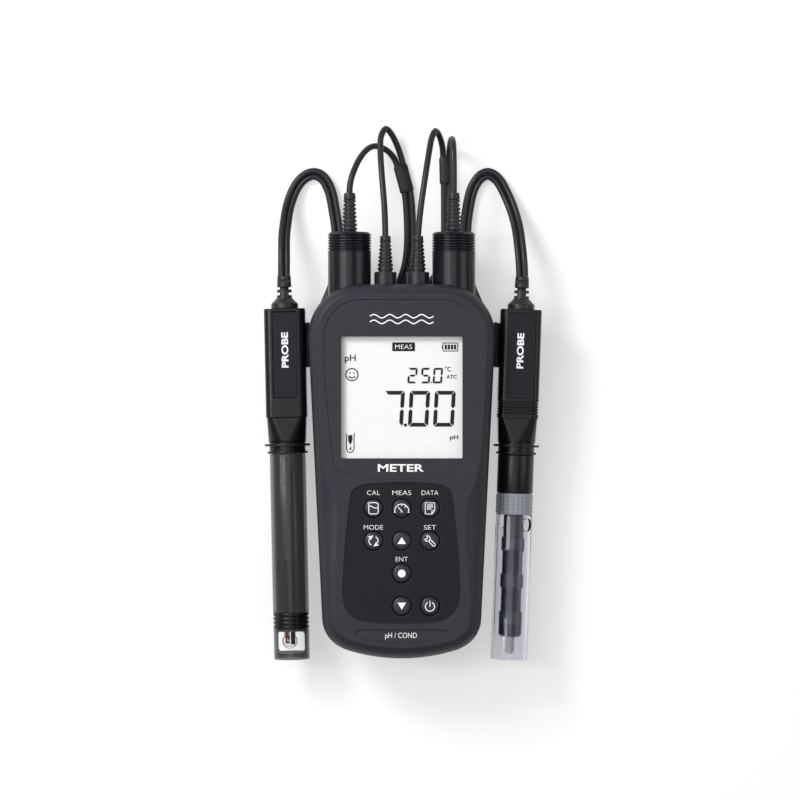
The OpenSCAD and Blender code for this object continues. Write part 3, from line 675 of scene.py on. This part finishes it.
def outline_arcs():
    """Centre, radius and angle of every point of the case outline's right side."""
    points = []
    for cx, cy, r, a0, a1, n in ((0, CHIN_Y, CHIN_R, -90, -CHIN_A, 8),
                                 (FOOT_X, FOOT_Y, FOOT_R, -CHIN_A, -SIDE_A, 14)):
        points += [(cx, cy, r, a0 + (a1 - a0) * i / n) for i in range(bool(points), n + 1)]
    c, s = ray(SIDE_A)
    start = FOOT_X + FOOT_R * c, FOOT_Y - FOOT_R * s
    end = HEAD_X + HEAD_R * c, HEAD_Y - HEAD_R * s
    for i in range(1, 24):
        t = i / 24
        x, y = start[0] + (end[0] - start[0]) * t, start[1] + (end[1] - start[1]) * t
        points.append((x, y, 0.0, -SIDE_A))
    points += [(HEAD_X, HEAD_Y, HEAD_R, -SIDE_A + (90 + SIDE_A) * i / 22) for i in range(23)]
    points += [(HEAD_X * (1 - i / 5), HEAD_Y + HEAD_R, 0.0, 90) for i in range(1, 6)]
    return points


def case_ring(z, inset):
    """The case outline at a height; inset is a distance or a function of place."""
    ring = []
    for cx, cy, r, a in outline_arcs():
        c, s = ray(a)
        d = inset(cy + r * s) if callable(inset) else inset
        ring.append((max(0.0, cx + (r - d) * c), cy + (r - d) * s, z))
    return ring + [(-x, y, z) for x, y, z in ring[-2:0:-1]]


def flat(ring):
    return [(x, y) for x, y, z in ring]


def mirror_outline(right):
    return right + [(-x, y) for x, y in reversed(right) if abs(x) > 1e-6]


def smooth_outline(right, step=1.2, top=()):
    """A closed symmetric outline through points of its right half, bottom to top."""
    points = [tuple(p)[:2] for p in spline([(x, y, 0) for x, y in right], step)]
    return mirror_outline(points + list(top))


PANEL = [(0, -3.4), (10, -3.05), (19.5, -1.9), (25.2, -0.4), (28.2, 2.2), (29.6, 7),
         (30.3, 14), (31.6, 26), (32.7, 40), (33.0, 50), (33.0, 57.7)]
PANEL_TOP = polar(HEAD_X, HEAD_Y, 15.4, 8, 90, 12) + [(0, HEAD_Y + 15.4)]
KEYPAD = [(0, -64.9), (11, -64.5), (19, -62.9), (23.4, -59), (25, -53), (24.9, -45),
          (24.1, -32), (23, -20.5), (21.9, -11.5), (20.2, -7.5), (15.5, -5.5), (8, -4.8),
          (0, -4.6)]
LABEL_SPOT = [(0, -72.8), (8, -72.4), (14, -71.5), (18.4, -70.1), (19.9, -68.7),
              (18.8, -67.5), (12, -67.3), (0, -67.3)]
KEYS = {"cal": (-1, 0), "meas": (0, 0), "data": (1, 0), "mode": (-1, 1), "up": (0, 1),
        "set": (1, 1), "enter": (0, 2), "down": (0, 3), "power": (1, 3)}


def key_centre(key):
    column, row = KEYS[key]
    return column * KEY_PITCH_X, KEY_Y - row * KEY_PITCH_Y


def clipped_ring(z, inset, end_y, r=3.0):
    """The case outline cut off at end_y, with the two new corners rounded."""
    low = [cy + q * sin(radians(a)) < 22 for cx, cy, q, a in outline_arcs()]
    half = [(x, y) for x, y, _ in case_ring(z, inset)[:low.index(False)]]
    a = radians(SIDE_A)
    cx = half[-1][0] + ((end_y - r - half[-1][1]) * sin(a) - r) / cos(a)
    half += polar(cx, end_y - r, r, -SIDE_A, 90, 8)
    return [(x, y, z) for x, y in mirror_outline(half)]


def case_cavity():
    return [(x, min(y, BAY_Y - 3)) for x, y in flat(case_ring(0, WALL))]


def plug_holes():
    holes = []
    for side in (-1, 1):
        for x, r in ((BOOT_X, 5.15), (JACK_X, 3.35)):
            holes.append(bare("hole", *turned([(60, r), (90, r)], plug_place(side * x))))
    return holes


def make_front_case():
    rings = [case_ring(PART_Z, 0.3), case_ring(PART_Z + 0.3, 0)]
    for z, share in SHOULDER_STEPS:
        rings.append(case_ring(z, lambda y, s=share: s * table_value(SHOULDER, y)))
    shell = bare("front_case_shape", *lofted(rings))
    above = CASE_T + 2
    tools = [
        cutter(case_cavity(), PART_Z - 2, FACE_UNDER_Z),
        cutter(smooth_outline(PANEL, top=PANEL_TOP), CASE_T - PANEL_DEPTH, above),
        cutter(smooth_outline(KEYPAD), CASE_T - KEYPAD_DEPTH, above),
        cutter(smooth_outline(LABEL_SPOT, 0.8), CASE_T - LABEL_DEPTH, above),
        box_cutter(-BEYOND, BEYOND, BAY_Y, BEYOND + 20, 0, BAY_TOP),
    ]
    window = shifted(rounded_loop(WINDOW_W, WINDOW_H, 0.6), 0, WINDOW_Y)
    pocket = shifted(rounded_loop(WINDOW_W + 5.4, WINDOW_H + 5.6, 2), 0, WINDOW_Y)
    tools.append(cutter(window, FACE_UNDER_Z - 1, above))
    tools.append(cutter(pocket, FACE_UNDER_Z - 0.5, FACE_UNDER_Z + 1.7))
    for key in KEYS:
        hole = shifted(polar(0, 0, KEY_R + KEY_GAP, 0, 352.5, 47), *key_centre(key))
        tools.append(cutter(hole, FACE_UNDER_Z - 1, above))
    combine(shell, tools + plug_holes())
    piece = finish_piece(shell, "front_case_shape", "case", "meter", 0.22, ["front_case"], 30.0)
    # the keypad recess floor takes the darker panel plastic, which holds painted shade as well as
    # its own colour
    piece.data.materials.append(MATERIALS["panel"])
    for face in piece.data.polygons:
        if face.normal.z > 0.99 and abs(face.center.z / MM - CASE_T + KEYPAD_DEPTH) < 0.03:
            face.material_index = 1


def make_rear_case():
    shoulder = [(14.5, 6.3), (14.62, 5.5), (15.0, 4.7), (15.7, 3.55), (16.6, 2.4),
                (17.8, 1.35), (19.2, 0.5), (20.2, 0.12), (PART_Z - 0.35, 0.0),
                (PART_Z - 0.08, 0.3)]
    shell = bare("rear_case_shape", *lofted([case_ring(z, d) for z, d in shoulder]))
    hump = [(0, 9.5, 31.5), (0, 9.2, 31.8), (0.25, 8.5, 32.5), (0.7, 7.9, 33.1), (1.5, 7.3, 33.5),
            (4.5, 6.2, 33.8), (8.5, 4.9, 34), (13, 3.4, 34), (16, 2.4, 34), (18.3, 1.5, 34)]
    back = bare("hump", *lofted([clipped_ring(z, d, y) for z, d, y in hump]))
    combine(shell, [back], "UNION")
    tools = [
        cutter(case_cavity(), 17, PART_Z + 2),
        cutter(flat(clipped_ring(0, WALL + 5, 30)), 6, PART_Z + 2.5),
        cutter(shifted(rounded_loop(42.6, 54.6, 2.2), 0, -31), -2, 3),
        box_cutter(-18, 18, -57.3, -5.3, 2, 10),
        box_cutter(-20.4, 20.4, 4.6, 30.8, -2, 3.4),
        box_cutter(-14, 14, 3.2, 5.2, -2, 2.2),
    ]
    for side in (-1, 1):
        x0, x1 = sorted((side * 32.9, side * 42.1))
        tools.append(box_cutter(x0, x1, 44.9, 62.1, 15.4, 19.6))
        for y, depth, r in ((-66, 7, 1.6), (12, 7, 1.6), (12, 0.9, 3.1)):
            tools.append(bare("cut", *turned([(-2, r), (depth, r)],
                                             upright_place(side * 26.5, y), sides=36)))
    tools.append(box_cutter(-BEYOND, BEYOND, BAY_Y, BEYOND + 20, -2, BAY_TOP))
    combine(shell, tools + plug_holes())
    finish_piece(shell, "rear_case_shape", "case", "meter", 0.3, ["rear_case"], 30.0)


# ---- keys ----

INK_T = 0.06
KEY_PROFILE = [(CASE_T - 0.14, 0), (CASE_T - 0.15, 2.0), (CASE_T - 0.18, 2.8),
               (CASE_T - 0.3, 3.25), (CASE_T - 0.5, 3.6), (CASE_T - 0.8, 3.88),
               (CASE_T - 1.2, 4.05), (CASE_T - 3.1, 4.1), (CASE_T - 3.1, 5.2),
               (CASE_T - 4.1, 5.2), (CASE_T - 4.1, 2), (30.5, 2), (30.5, 0)]


def stroke_mesh(points, width, z, closed=False, thick=INK_T):
    """A flat line of the given width along points, a little thick."""
    p = [Vector(q) for q in points]
    n = len(p)
    rings = []
    for i in range(n):
        before = p[i - 1] if (i or closed) else p[0]
        after = p[(i + 1) % n] if (i < n - 1 or closed) else p[-1]
        t = (after - before).normalized()
        side = Vector((-t.y, t.x)) * width / 2
        rings.append([(q.x, q.y, h) for q, h in (
            (p[i] + side, z + thick), (p[i] - side, z + thick), (p[i] - side, z),
            (p[i] + side, z))])
    return lofted(rings, closed)


def join_meshes(parts):
    verts, faces = [], []
    for v, f in parts:
        base = len(verts)
        verts += v
        faces += [tuple(base + i for i in face) for face in f]
    return verts, faces


def dot(x, y, r):
    return polar(x, y, r, 0, 330, 11)


def arrow_head(x, y, angle, size):
    a = radians(angle)
    return [(x + size * cos(a + d), y + size * sin(a + d)) for d in (0, 2.3, -2.3)]


# Each key's symbol, from its middle: lines as (points, closed), then filled shapes
SYMBOLS = {
    "cal": ([(rounded_loop(4.0, 4.8, 0.9, 3), True), ([(-2.4, 2.4), (-1.6, 2.1)], False),
             ([(-1.9, 0.9), (-1.2, 1.0), (-0.3, 0.5), (0.6, 0.1), (1.9, 0.3)], False)], []),
    "meas": ([(polar(0, -1.2, 3.0, -8, 188, 20), False), ([(2.5, -1.6), (3.3, -1.7)], False),
              ([(-2.5, -1.6), (-3.3, -1.7)], False), ([(0, -1.3), (-1.5, 0.5)], False),
              ([(0, 1.8), (0, 1.0)], False), ([(1.9, 1.0), (1.3, 0.4)], False)],
             [dot(0, -1.4, 0.35)]),
    "data": ([([(2.0, -0.9), (2.0, 2.3), (-2.0, 2.3), (-2.0, -2.4), (0.9, -2.4),
                (2.0, -0.9)], False), ([(0.8, -2.3), (0.8, -1.0), (1.9, -1.0)], False),
              ([(-1.3, 1.4), (1.3, 1.4)], False), ([(-1.3, 0.55), (1.3, 0.55)], False),
              ([(-1.3, -0.3), (0.6, -0.3)], False)], []),
    "mode": ([(polar(0, 0, 1.95, -50, 62, 12), False), (polar(0, 0, 1.95, 130, 242, 12), False)],
             [arrow_head(1.05, -1.6, 215, 1.25), arrow_head(-1.05, 1.6, 35, 1.25)]),
    "up": ([], [[(-1.8, -1.3), (1.8, -1.3), (0, 1.6)]]),
    "down": ([], [[(-1.8, 1.5), (0, -1.5), (1.8, 1.5)]]),
    "set": ([([(-0.6, 0.0), (1.3, -2.2), (2.1, -2.2), (2.2, -1.4), (0.2, 0.6)], False),
             (polar(-1.1, 1.0, 1.15, -60, 35, 5), False),
             (polar(-1.1, 1.0, 1.15, 190, 300, 6), False),
             ([(-2.2, 0.8), (-1.2, 0.9), (-1.1, 1.6), (-1.5, 2.1)], False),
             ([(-0.15, 1.65), (-1.0, 2.3), (-1.5, 2.1)], False)], []),
    "enter": ([], [polar(0, 0, 1.65, 0, 350, 35)]),
    "power": ([(polar(0, -0.2, 1.95, 118, 422, 26), False), ([(0, -0.3), (0, 2.2)], False)],
              []),
}


def make_keys():
    for key in KEYS:
        x, y = key_centre(key)
        body = f"key_{key}_body"
        lathe(f"key_{key}_shape", KEY_PROFILE, upright_place(x, y), "key", body,
              [f"key_{key}"], 0.12, sides=48, smooth=50.0)
        lines, fills = SYMBOLS[key]
        top = CASE_T - 0.15
        parts = [stroke_mesh(shifted(points, x, y), 0.36, top, closed)
                 for points, closed in lines]
        parts += [prism(shifted(points, x, y), top, top + INK_T) for points in fills]
        new_piece(f"key_{key}_symbol", *join_meshes(parts), "ink", body)


# ---- lettering and display ----


def letters(name, words, centre, size, material, body, bold, width, turn=0.0):
    """Words lying in a level plane; size is the height of a capital."""
    curve = bpy.data.curves.new(name, "FONT")
    curve.body = words
    curve.size = size / 0.7
    curve.offset = bold
    curve.extrude = 0.025
    curve.resolution_u = 4
    curve.align_x = "CENTER"
    curve.align_y = "CENTER"
    thing = linked(name, curve)
    mesh = shaped(thing)
    discard(thing)
    xs = [v.co.x for v in mesh.vertices]
    ys = [v.co.y for v in mesh.vertices]
    stretch = width / (max(xs) - min(xs))
    mid = Vector(((max(xs) + min(xs)) / 2, (max(ys) + min(ys)) / 2, 0))
    mesh.transform(Matrix.Translation(-mid))
    mesh.transform(Matrix.Diagonal((stretch, 1, 1, 1)))
    turned_to = Matrix.Rotation(radians(turn), 4, "Z")
    mesh.transform(Matrix.Translation(Vector(centre)) @ turned_to)
    mesh.transform(Matrix.Scale(MM, 4))
    as_piece(name, mesh, material, body)


SEGMENTS = {"0": "abcdef", "2": "abged", "5": "afgcd", "7": "abc"}
LCD_TOP, LCD_INK_T = 34.93, 0.04


def digit_shapes(figure, x0, x1, y0, y1, t, slant):
    """The lit segments of a digit that fills a box, leaning by slant at the top."""
    w, h, g = x1 - x0, y1 - y0, t * 0.1
    mid = h / 2

    def bar(y, up):
        return [(g + t * 0.25, y), (w - g - t * 0.25, y), (w - g - t, y + up * t),
                (g + t, y + up * t)]

    def post(x, low, high, inward, pointed_low):
        a, b = low + g, high - g
        if pointed_low:
            return [(x, a + t * 0.5), (x + inward * t * 0.5, a), (x + inward * t, a + t * 0.5),
                    (x + inward * t, b - t * 0.9), (x + inward * t * 0.25, b - t * 0.1),
                    (x, b - t * 0.6)]
        return [(x, a + t * 0.6), (x + inward * t * 0.25, a + t * 0.1),
                (x + inward * t, a + t * 0.9), (x + inward * t, b - t * 0.5),
                (x + inward * t * 0.5, b), (x, b - t * 0.5)]

    shapes = {
        "a": bar(h, -1), "d": bar(0, 1),
        "g": [(t * 0.9, mid), (t * 1.4, mid + t / 2), (w - t * 1.4, mid + t / 2),
              (w - t * 0.9, mid), (w - t * 1.4, mid - t / 2), (t * 1.4, mid - t / 2)],
        "f": post(0, mid, h, 1, True), "b": post(w, mid, h, -1, True),
        "e": post(0, 0, mid, 1, False), "c": post(w, 0, mid, -1, False)}
    return [[(x0 + x + slant * (y / h - 0.5), y0 + y) for x, y in shapes[s]]
            for s in SEGMENTS[figure]]


def make_display():
    fills, lines = [], []
    for figure, x0, x1 in (("7", -7.9, 0.95), ("0", 3.0, 11.7), ("0", 13.7, 22.6)):
        fills += digit_shapes(figure, x0, x1, 19.05, 34.3, 1.65, 0.9)
    fills.append(dot(1.6, 19.75, 0.72))
    for figure, x0, x1 in (("2", 2.6, 6.6), ("5", 8.25, 12.15), ("0", 13.35, 17.4)):
        fills += digit_shapes(figure, x0, x1, 37.45, 44.1, 0.86, 0.5)
    fills.append(dot(12.6, 37.85, 0.34))
    fills.append(shifted(rounded_loop(9.7, 3.75, 0.3, 2), 0.8, 53.05))
    lines.append((shifted(rounded_loop(6.3, 3.4, 0.3, 2), 20.7, 52.95), True, 0.4))
    fills += [rect(x, x + 1, 51.9, 54.0) for x in (18.3, 19.6, 20.9, 22.2)]
    fills.append(rect(17.1, 17.55, 52.3, 53.6))
    face_x, face_y = -21.2, 41.2
    lines.append((polar(face_x, face_y, 2.58, 0, 350, 35), True, 0.5))
    lines.append((polar(face_x, face_y, 1.45, 205, 335, 10), False, 0.5))
    fills += [dot(face_x + s * 0.85, face_y + 0.7, 0.34) for s in (-1, 1)]
    tube_x = -21.9
    lines.append(([(tube_x - 1.9, 16.2), (tube_x - 1.6, 15.6), (tube_x - 1.6, 9.6),
                   (tube_x - 1.0, 8.4), (tube_x, 7.9), (tube_x + 1.0, 8.4),
                   (tube_x + 1.6, 9.6), (tube_x + 1.6, 15.6), (tube_x + 1.9, 16.2)], False,
                  0.42))
    fills.append([(tube_x - 0.9, 15.5), (tube_x + 0.9, 15.5), (tube_x + 0.9, 13.2),
                  (tube_x + 0.3, 11.6), (tube_x - 0.3, 11.6), (tube_x - 0.9, 13.2)])
    fills.append([(tube_x - 0.5, 9.2), (tube_x + 0.5, 9.2), (tube_x + 0.3, 10.9)])
    parts = [prism(p, LCD_TOP, LCD_TOP + LCD_INK_T) for p in fills]
    parts += [stroke_mesh(p, w, LCD_TOP, closed, LCD_INK_T) for p, closed, w in lines]
    new_piece("display_marks", *join_meshes(parts), "segment", "meter")
    letters("badge_word", "MEAS", (0.8, 53.05, LCD_TOP + 0.05), 1.95, "lcd", "meter",
            bold=-0.02, width=7.2)
    for name, words, x, y, size, width in (
            ("ph_word", "pH", -21.9, 47.9, 2.75, 4.7),
            ("degree_word", "°C", 19.75, 43.6, 1.9, 2.6),
            ("atc_word", "ATC", 21.2, 40.3, 1.5, 4.5),
            ("ph_unit_word", "pH", 22.3, 14.3, 1.75, 3.5)):
        letters(name, words, (x, y, LCD_TOP), size, "segment", "meter", bold=0.06, width=width)


def make_legends():
    face = CASE_T - KEYPAD_DEPTH + 0.03
    for key, words, rise, width in (("cal", "CAL", 6.6, 5.5), ("meas", "MEAS", 6.6, 8.0),
                                    ("data", "DATA", 6.6, 7.1), ("mode", "MODE", 5.75, 8.2),
                                    ("set", "SET", 5.75, 5.2), ("enter", "ENT", 6.1, 5.1)):
        x, y = key_centre(key)
        letters(f"{key}_word", words, (x, y + rise, face), 2.0, "ink", "meter",
                bold=-0.04, width=width)
    letters("meter_word", "METER", (-0.4, 1.55, CASE_T - PANEL_DEPTH + 0.02), 3.1, "ink",
            "meter", bold=0.09, width=19.5)
    letters("kind_word", "pH / COND", (-0.3, -69.95, CASE_T - LABEL_DEPTH + 0.02), 2.3, "ink",
            "meter", bold=-0.02, width=13.5)
    level, reach = CASE_T - PANEL_DEPTH + 0.01, 13.5
    waves = [[(-reach + k * 2 * reach / 60, y + 0.75 * sin(k * pi / 7.5))
              for k in range(61)] for y in (63.6, 63.6 + 2.4)]
    parts = [stroke_mesh(w, 0.45, level) for w in waves]
    new_piece("water_mark", *join_meshes(parts), "ink", "meter")
    for name, place, lean in (("ph", PH, PH_LEAN), ("cond", COND, COND_LEAN)):
        letters(f"{name}_probe_word", "PROBE", place(0, SHAFT_R + 0.05, 17.8), 2.7, "ink",
                f"{name}_probe", bold=0.12, width=15.2, turn=90 + lean)


# ---- probes: places along a probe are measured from the top of its head ----


def placed(mesh, place):
    verts, faces = mesh
    return [place(*v) for v in verts], faces


def tube_wall(s0, s1, outer, inner):
    return [(s0, inner), (s0, outer), (s1, outer), (s1, inner)]


def wrapped(name, parts, place):
    """A convex solid round the points of the given meshes."""
    bm = bmesh.new()
    for verts, faces in parts:
        for v in verts:
            bm.verts.new(place(*v))
    made = bmesh.ops.convex_hull(bm, input=bm.verts)
    bmesh.ops.delete(bm, geom=[g for g in made["geom_interior"]
                               if isinstance(g, bmesh.types.BMVert)], context="VERTS")
    mesh = bpy.data.meshes.new(name)
    bm.to_mesh(mesh)
    bm.free()
    return linked(name, mesh)


def make_probe_head(name, place, grooved):
    head_end, neck_end = 46.8, 57.2
    block = bare("block", *placed(prism(rounded_loop(17.6, 16, 3, 8), 0, head_end), place))
    neck = wrapped("neck", [prism(rounded_loop(16.8, 15.2, 3.2, 8), head_end - 0.5, 47.3),
                            prism(polar(0, 0, 8.1, 0, 354, 59), neck_end - 0.5, neck_end)],
                   place)
    shaft = bare("shaft", *turned([(56, SHAFT_R), (62.5, SHAFT_R)], place, sides=60))
    rail = bare("rail", *placed(prism(rect(-4.8, 4.8, -11.6, -7), 7.5, 23.5), place))
    combine(block, [neck, shaft, rail], "UNION")
    tools = [bare("cut", *placed(prism(rect(-5.2, 5.2, 7.4, 9.4), 1.6, 38.2), place))]
    outer, inner = rounded_loop(20, 19, 3, 8), rounded_loop(16.8, 15.2, 2.6, 8)
    for k in range(5 if grooved else 0):
        s0, s1 = 39.6 + 1.2 * k, 40.1 + 1.2 * k
        rings = [[place(x, y, s) for x, y in loop]
                 for loop, s in ((outer, s0), (outer, s1), (inner, s1), (inner, s0))]
        tools.append(bare("cut", *lofted(rings, True)))
    combine(block, tools)
    finish_piece(block, f"{name}_probe_head_shape", "probe_black", f"{name}_probe",
                 0.14 if grooved else 0.35, [f"{name}_probe_head"], 28.0)


def make_probe_relief(name, place):
    profile = [(0, 1.3), (0, 5.8), (-2.2, 5.8), (-4.7, 3.3), (-8.3, 3.2), (-8.4, 1.9),
               (-9.3, 1.9), (-9.4, 3.1), (-14.3, 2.9), (-14.3, 1.3)]
    slots = []
    for side in (-1, 1):
        for s, turn in ((-6.5, 0), (-11.9, 1)):
            x0, x1 = sorted((side * 1.9, side * 4.2))
            flat_box = rect(x0, x1, -4, 4)
            if turn:
                flat_box = [(y, x) for x, y in flat_box]
            slots.append(placed(prism(flat_box, s - 0.6, s + 0.6), place))
    verts, faces = turned(eased(profile, 0.35, True), place, True, 48)
    thing = bare("relief", verts, faces)
    combine(thing, [bare("slot", *slot) for slot in slots])
    finish_piece(thing, f"{name}_relief_shape", "relief", f"{name}_probe", 0.12,
                 [f"{name}_strain_relief"], 34.0)


def make_probe_top(name, place, grooved):
    """What both probes share: the head, the strain relief and the stop rings."""
    make_probe_head(name, place, grooved)
    make_probe_relief(name, place)
    for kind, s, r, replaced in (("wide", 58.2, 9.9, [f"{name}_stop_rings"]),
                                 ("narrow", 61.4, 8.7, [])):
        lathe(f"{name}_ring_{kind}", tube_wall(s, s + 0.9, r, SHAFT_R), place, "ring",
              f"{name}_probe", replaced, 0.25, True)


def make_ph_probe():
    body = "ph_probe"
    make_probe_top("ph", PH, False)
    lathe("ph_tube", tube_wall(62.6, 130.8, SHAFT_R, 6.5), PH, "smoky_tube", body,
          ["ph_probe_body"], 0.3, True)
    plug = [(130.9, 0), (130.9, 7.7)]
    for k in range(3):
        s = 132.2 + 1.8 * k
        plug += [(s, 7.7), (s, 7.25), (s + 0.7, 7.25), (s + 0.7, 7.7)]
    plug += [(137.6, 7.7), (137.6, 6.5), (138.8, 6.5), (138.8, 0)]
    lathe("ph_plug", plug, PH, "probe_black", body, ["ph_junction_plug"], 0.15)
    window = [[PH(x, y, 143.45 + s) for x, s in rounded_loop(11.5, 9.1, 1.4)]
              for y in (-12, 12)]
    cap = bare("cap", *turned(eased(tube_wall(137.8, 151, 7.7, 6.8), 0.25, True), PH, True, 72))
    combine(cap, [bare("window", *lofted(window))])
    finish_piece(cap, "ph_cap", "smoky_guard", "ph_guard", 0.12, ["ph_guard_cap"], 34.0)


def knurled_ring():
    """A ring with five rows of small raised dots."""
    rows, lobes, per_lobe = 5, 26, 6
    s0, s1 = 79.15, 88.25
    levels = [(s0, 6.8), (s0, 7.6), (s0 + 0.15, 7.75)]
    grid = 6 * rows
    for i in range(grid + 1):
        levels.append((s0 + 0.5 + (s1 - s0 - 1.0) * i / grid, 7.68))
    levels += [(s1 - 0.15, 7.75), (s1, 7.6), (s1, 6.8)]
    rings = []
    for i, (s, r) in enumerate(levels):
        row = max(0.0, sin(pi * ((i - 3) / grid * rows % 1)))
        row = row if 3 <= i <= 3 + grid else 0.0
        ring = []
        for k, a in enumerate(circle(lobes * per_lobe)):
            lobe = max(0.0, cos(2 * pi * k / per_lobe))
            q = r + 0.32 * (row * lobe) ** 0.7
            ring.append(COND(q * cos(a), q * sin(a), s))
        rings.append(ring)
    return lofted(rings, True)


def make_cond_probe():
    body = "cond_probe"
    make_probe_top("cond", COND, True)
    upper = [(62.6, 0), (62.6, SHAFT_R), (79, SHAFT_R), (79, 6.5), (87, 6.5), (87, 0)]
    lathe("cond_body_shape", upper, COND, "probe_black", body, ["cond_probe_body"], 0.3)
    ring = new_piece("knurled_ring", *knurled_ring(), "ring_clear", "cond_guard", "clear_guard",
                     smooth=60.0)
    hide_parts("cond_knurled_ring")
    holes = []
    for a in (42, 222):
        c, s = ray(a)
        holes.append(lofted([[COND(c * d - s * u, s * d + c * u, 92.5 + v)
                              for u, v in polar(0, 0, 2.9, 0, 352, 44)] for d in (4, 9)]))
    lathe("guard_tube_shape", tube_wall(88.3, 150.7, 7.9, 6.8), COND, "clear_guard",
          "cond_guard", ["cond_guard_tube"], 0.3, True, holes, 72)
    stem = [(87.1, 0), (87.1, 4.35), (98.3, 4.35), (98.4, 4.85), (104.2, 4.85), (104.3, 4.35),
            (113.9, 4.35), (114, 4.85), (119.8, 4.85), (119.9, 4.35), (129.9, 4.35),
            (130, 4.9), (139.6, 4.9), (140.7, 3.9), (140.7, 0)]
    lathe("cond_stem_shape", stem, COND, "cond_stem_grey", body, ["cond_stem"], 0.3)
    for i, (s, end) in enumerate(((98.5, 104.1), (114.1, 119.7), (130.1, 135.6))):
        lathe(f"cond_stem_band_{i}", tube_wall(s, end, 4.95, 4.4), COND, "stem_band", body,
              [], 0.15, True)
    lathe("cond_tip_shape", [(140.8, 0), (140.8, 2), (146.6, 2), (147.7, 1.3), (148.1, 0.6),
                             (148.1, 0)], COND, "tip", body, ["cond_sensor_tip"], 0.3)


# ---- plugs: places along a plug are the row frame's y ----


def make_ribs(name, place, body, s0, s1, r0, r1, count=8):
    """The ribs of a strain relief: each is split, and turned a quarter from the last."""
    parts = []
    step = (s1 - s0) / count
    for k in range(count):
        r = r0 + (r1 - r0) * k / (count - 1)
        a, b = s0 + step * (k + 0.3), s0 + step * (k + 0.92)
        for half in (0, 180):
            start = half + 90 * (k % 2) + 14
            loop = polar(0, 0, r, start, start + 152, 20)
            loop += polar(0, 0, r - 1.3, start + 152, start, 20)
            parts.append(lofted([[place(x, y, s) for x, y in loop] for s in (a, b)]))
    finish_piece(bare("ribs", *join_meshes(parts)), name, "relief", body, 0.1, [], 34.0)


def make_plugs():
    for name, side in (("left", -1), ("right", 1)):
        place = plug_place(side * BOOT_X)
        body = f"{name}_plug"
        outer = [(75, 8), (75, 9.1), (76.2, 9.25), (93.9, 9.25), (94, 9.4)]
        for k in range(6):
            s = 94.3 + 1.2 * k
            outer += [(s, 9.4), (s + 0.35, 8.75), (s + 0.5, 8.75), (s + 0.85, 9.4)]
        outer += [(101.3, 9.4), (102.4, 8.5), (102.4, 3.9), (100.9, 3.9), (100.9, 8)]
        lathe(f"{name}_boot_shape", outer, place, "boot", body, [f"{name}_signal_boot"], 0.08,
              True, sides=80)
        plug = [(77, 5.4), (77, 7), (90.5, 7), (90.5, 7.95), (100.8, 7.95), (100.8, 3.8),
                (103, 3.4), (103.1, 2.6), (116.6, 2.0), (116.7, 2.65), (119.4, 2.4),
                (119.4, 1.3), (90, 1.3), (90, 5.4)]
        lathe(f"{name}_signal_plug_shape", plug, place, "relief", body,
              [f"{name}_signal_plug"], 0.25, True)
        make_ribs(f"{name}_signal_ribs", place, body, 103, 116.6, 3.3, 2.65)
        place = plug_place(side * JACK_X)
        plug = [(64, 0), (64, 1.9), (75.6, 1.9), (75.6, 4.85), (85.2, 4.85), (85.4, 4.6),
                (85.4, 3.0), (98.9, 1.85), (99, 2.35), (100.9, 2.2), (100.9, 0)]
        lathe(f"{name}_sensor_plug_shape", plug, place, "relief", "meter",
              [f"{name}_sensor_plug"], 0.25)
        make_ribs(f"{name}_sensor_ribs", place, "meter", 85.8, 99, 3.45, 2.4)


def make_small_parts():
    """CAD shapes with their edges rounded."""
    bodies = frame["record"]["behaviour"]["bodies"]
    for node in ("battery_door", "kickstand", "left_probe_holder", "right_probe_holder"):
        source = frame["nodes"][node]
        mesh = source.data.copy()
        mesh.transform(source.matrix_world)
        mesh.transform(Matrix.Scale(1 / MM, 4))
        body = next(b for b, nodes in bodies.items() if node in nodes)
        finish_piece(linked(node, mesh), node + "_shape", SLOTS[node], body, 0.3, [node])


# ---- stage ----

WORLD_LIGHT = 0.28


def make_stage():
    half = 6.0
    mesh = bpy.data.meshes.new("floor")
    mesh.from_pydata([(-half, -half, 0), (half, -half, 0), (half, half, 0), (-half, half, 0)],
                     [], [(0, 1, 2, 3)])
    floor = linked("floor", mesh)
    floor.location.z = -0.0002
    m, tree, shader = new_material("floor_paper")
    shader.inputs["Base Color"].default_value = (0.5, 0.5, 0.5, 1)
    shader.inputs["Roughness"].default_value = 0.95
    shader.inputs["Emission Color"].default_value = (1, 1, 1, 1)
    shader.inputs["Emission Strength"].default_value = 0.45
    mesh.materials.append(m)


def area_light(name, place, aim, size, power):
    data = bpy.data.lights.new(name, "AREA")
    data.shape = "RECTANGLE"
    data.size, data.size_y = size
    data.energy = power
    light = linked(name, data)
    light.location = place
    light.rotation_euler = (Vector(aim) - Vector(place)).to_track_quat("-Z", "Y").to_euler()


def make_lights():
    world = bpy.data.worlds.new("studio")
    world.use_nodes = True
    background = world.node_tree.nodes["Background"]
    background.inputs["Color"].default_value = (1, 1, 1, 1)
    background.inputs["Strength"].default_value = WORLD_LIGHT
    bpy.context.scene.world = world
    area_light("overhead", (-0.3, 0.15, 1.75), (0, 0.03, 0), (1.4, 1.4), 9.0)
    area_light("key_light", (-0.8, 0.8, 0.9), (0, 0.03, 0), (0.45, 0.45), 15.0)
    area_light("fill_light", (1.0, 0.2, 0.8), (0, 0, 0), (0.7, 0.7), 3.0)
    area_light("strip_light", (-0.6, 0.1, 0.85), (0, 0.1, 0), (0.12, 0.6), 2.6)
    bpy.context.scene.view_settings.view_transform = "Standard"


make_camera()
MATERIALS = make_materials()
paint_cad_nodes()
make_leads()
make_front_case()
make_rear_case()
make_keys()
make_display()
make_legends()
make_ph_probe()
make_cond_probe()
make_plugs()
make_small_parts()
make_lights()
make_stage()
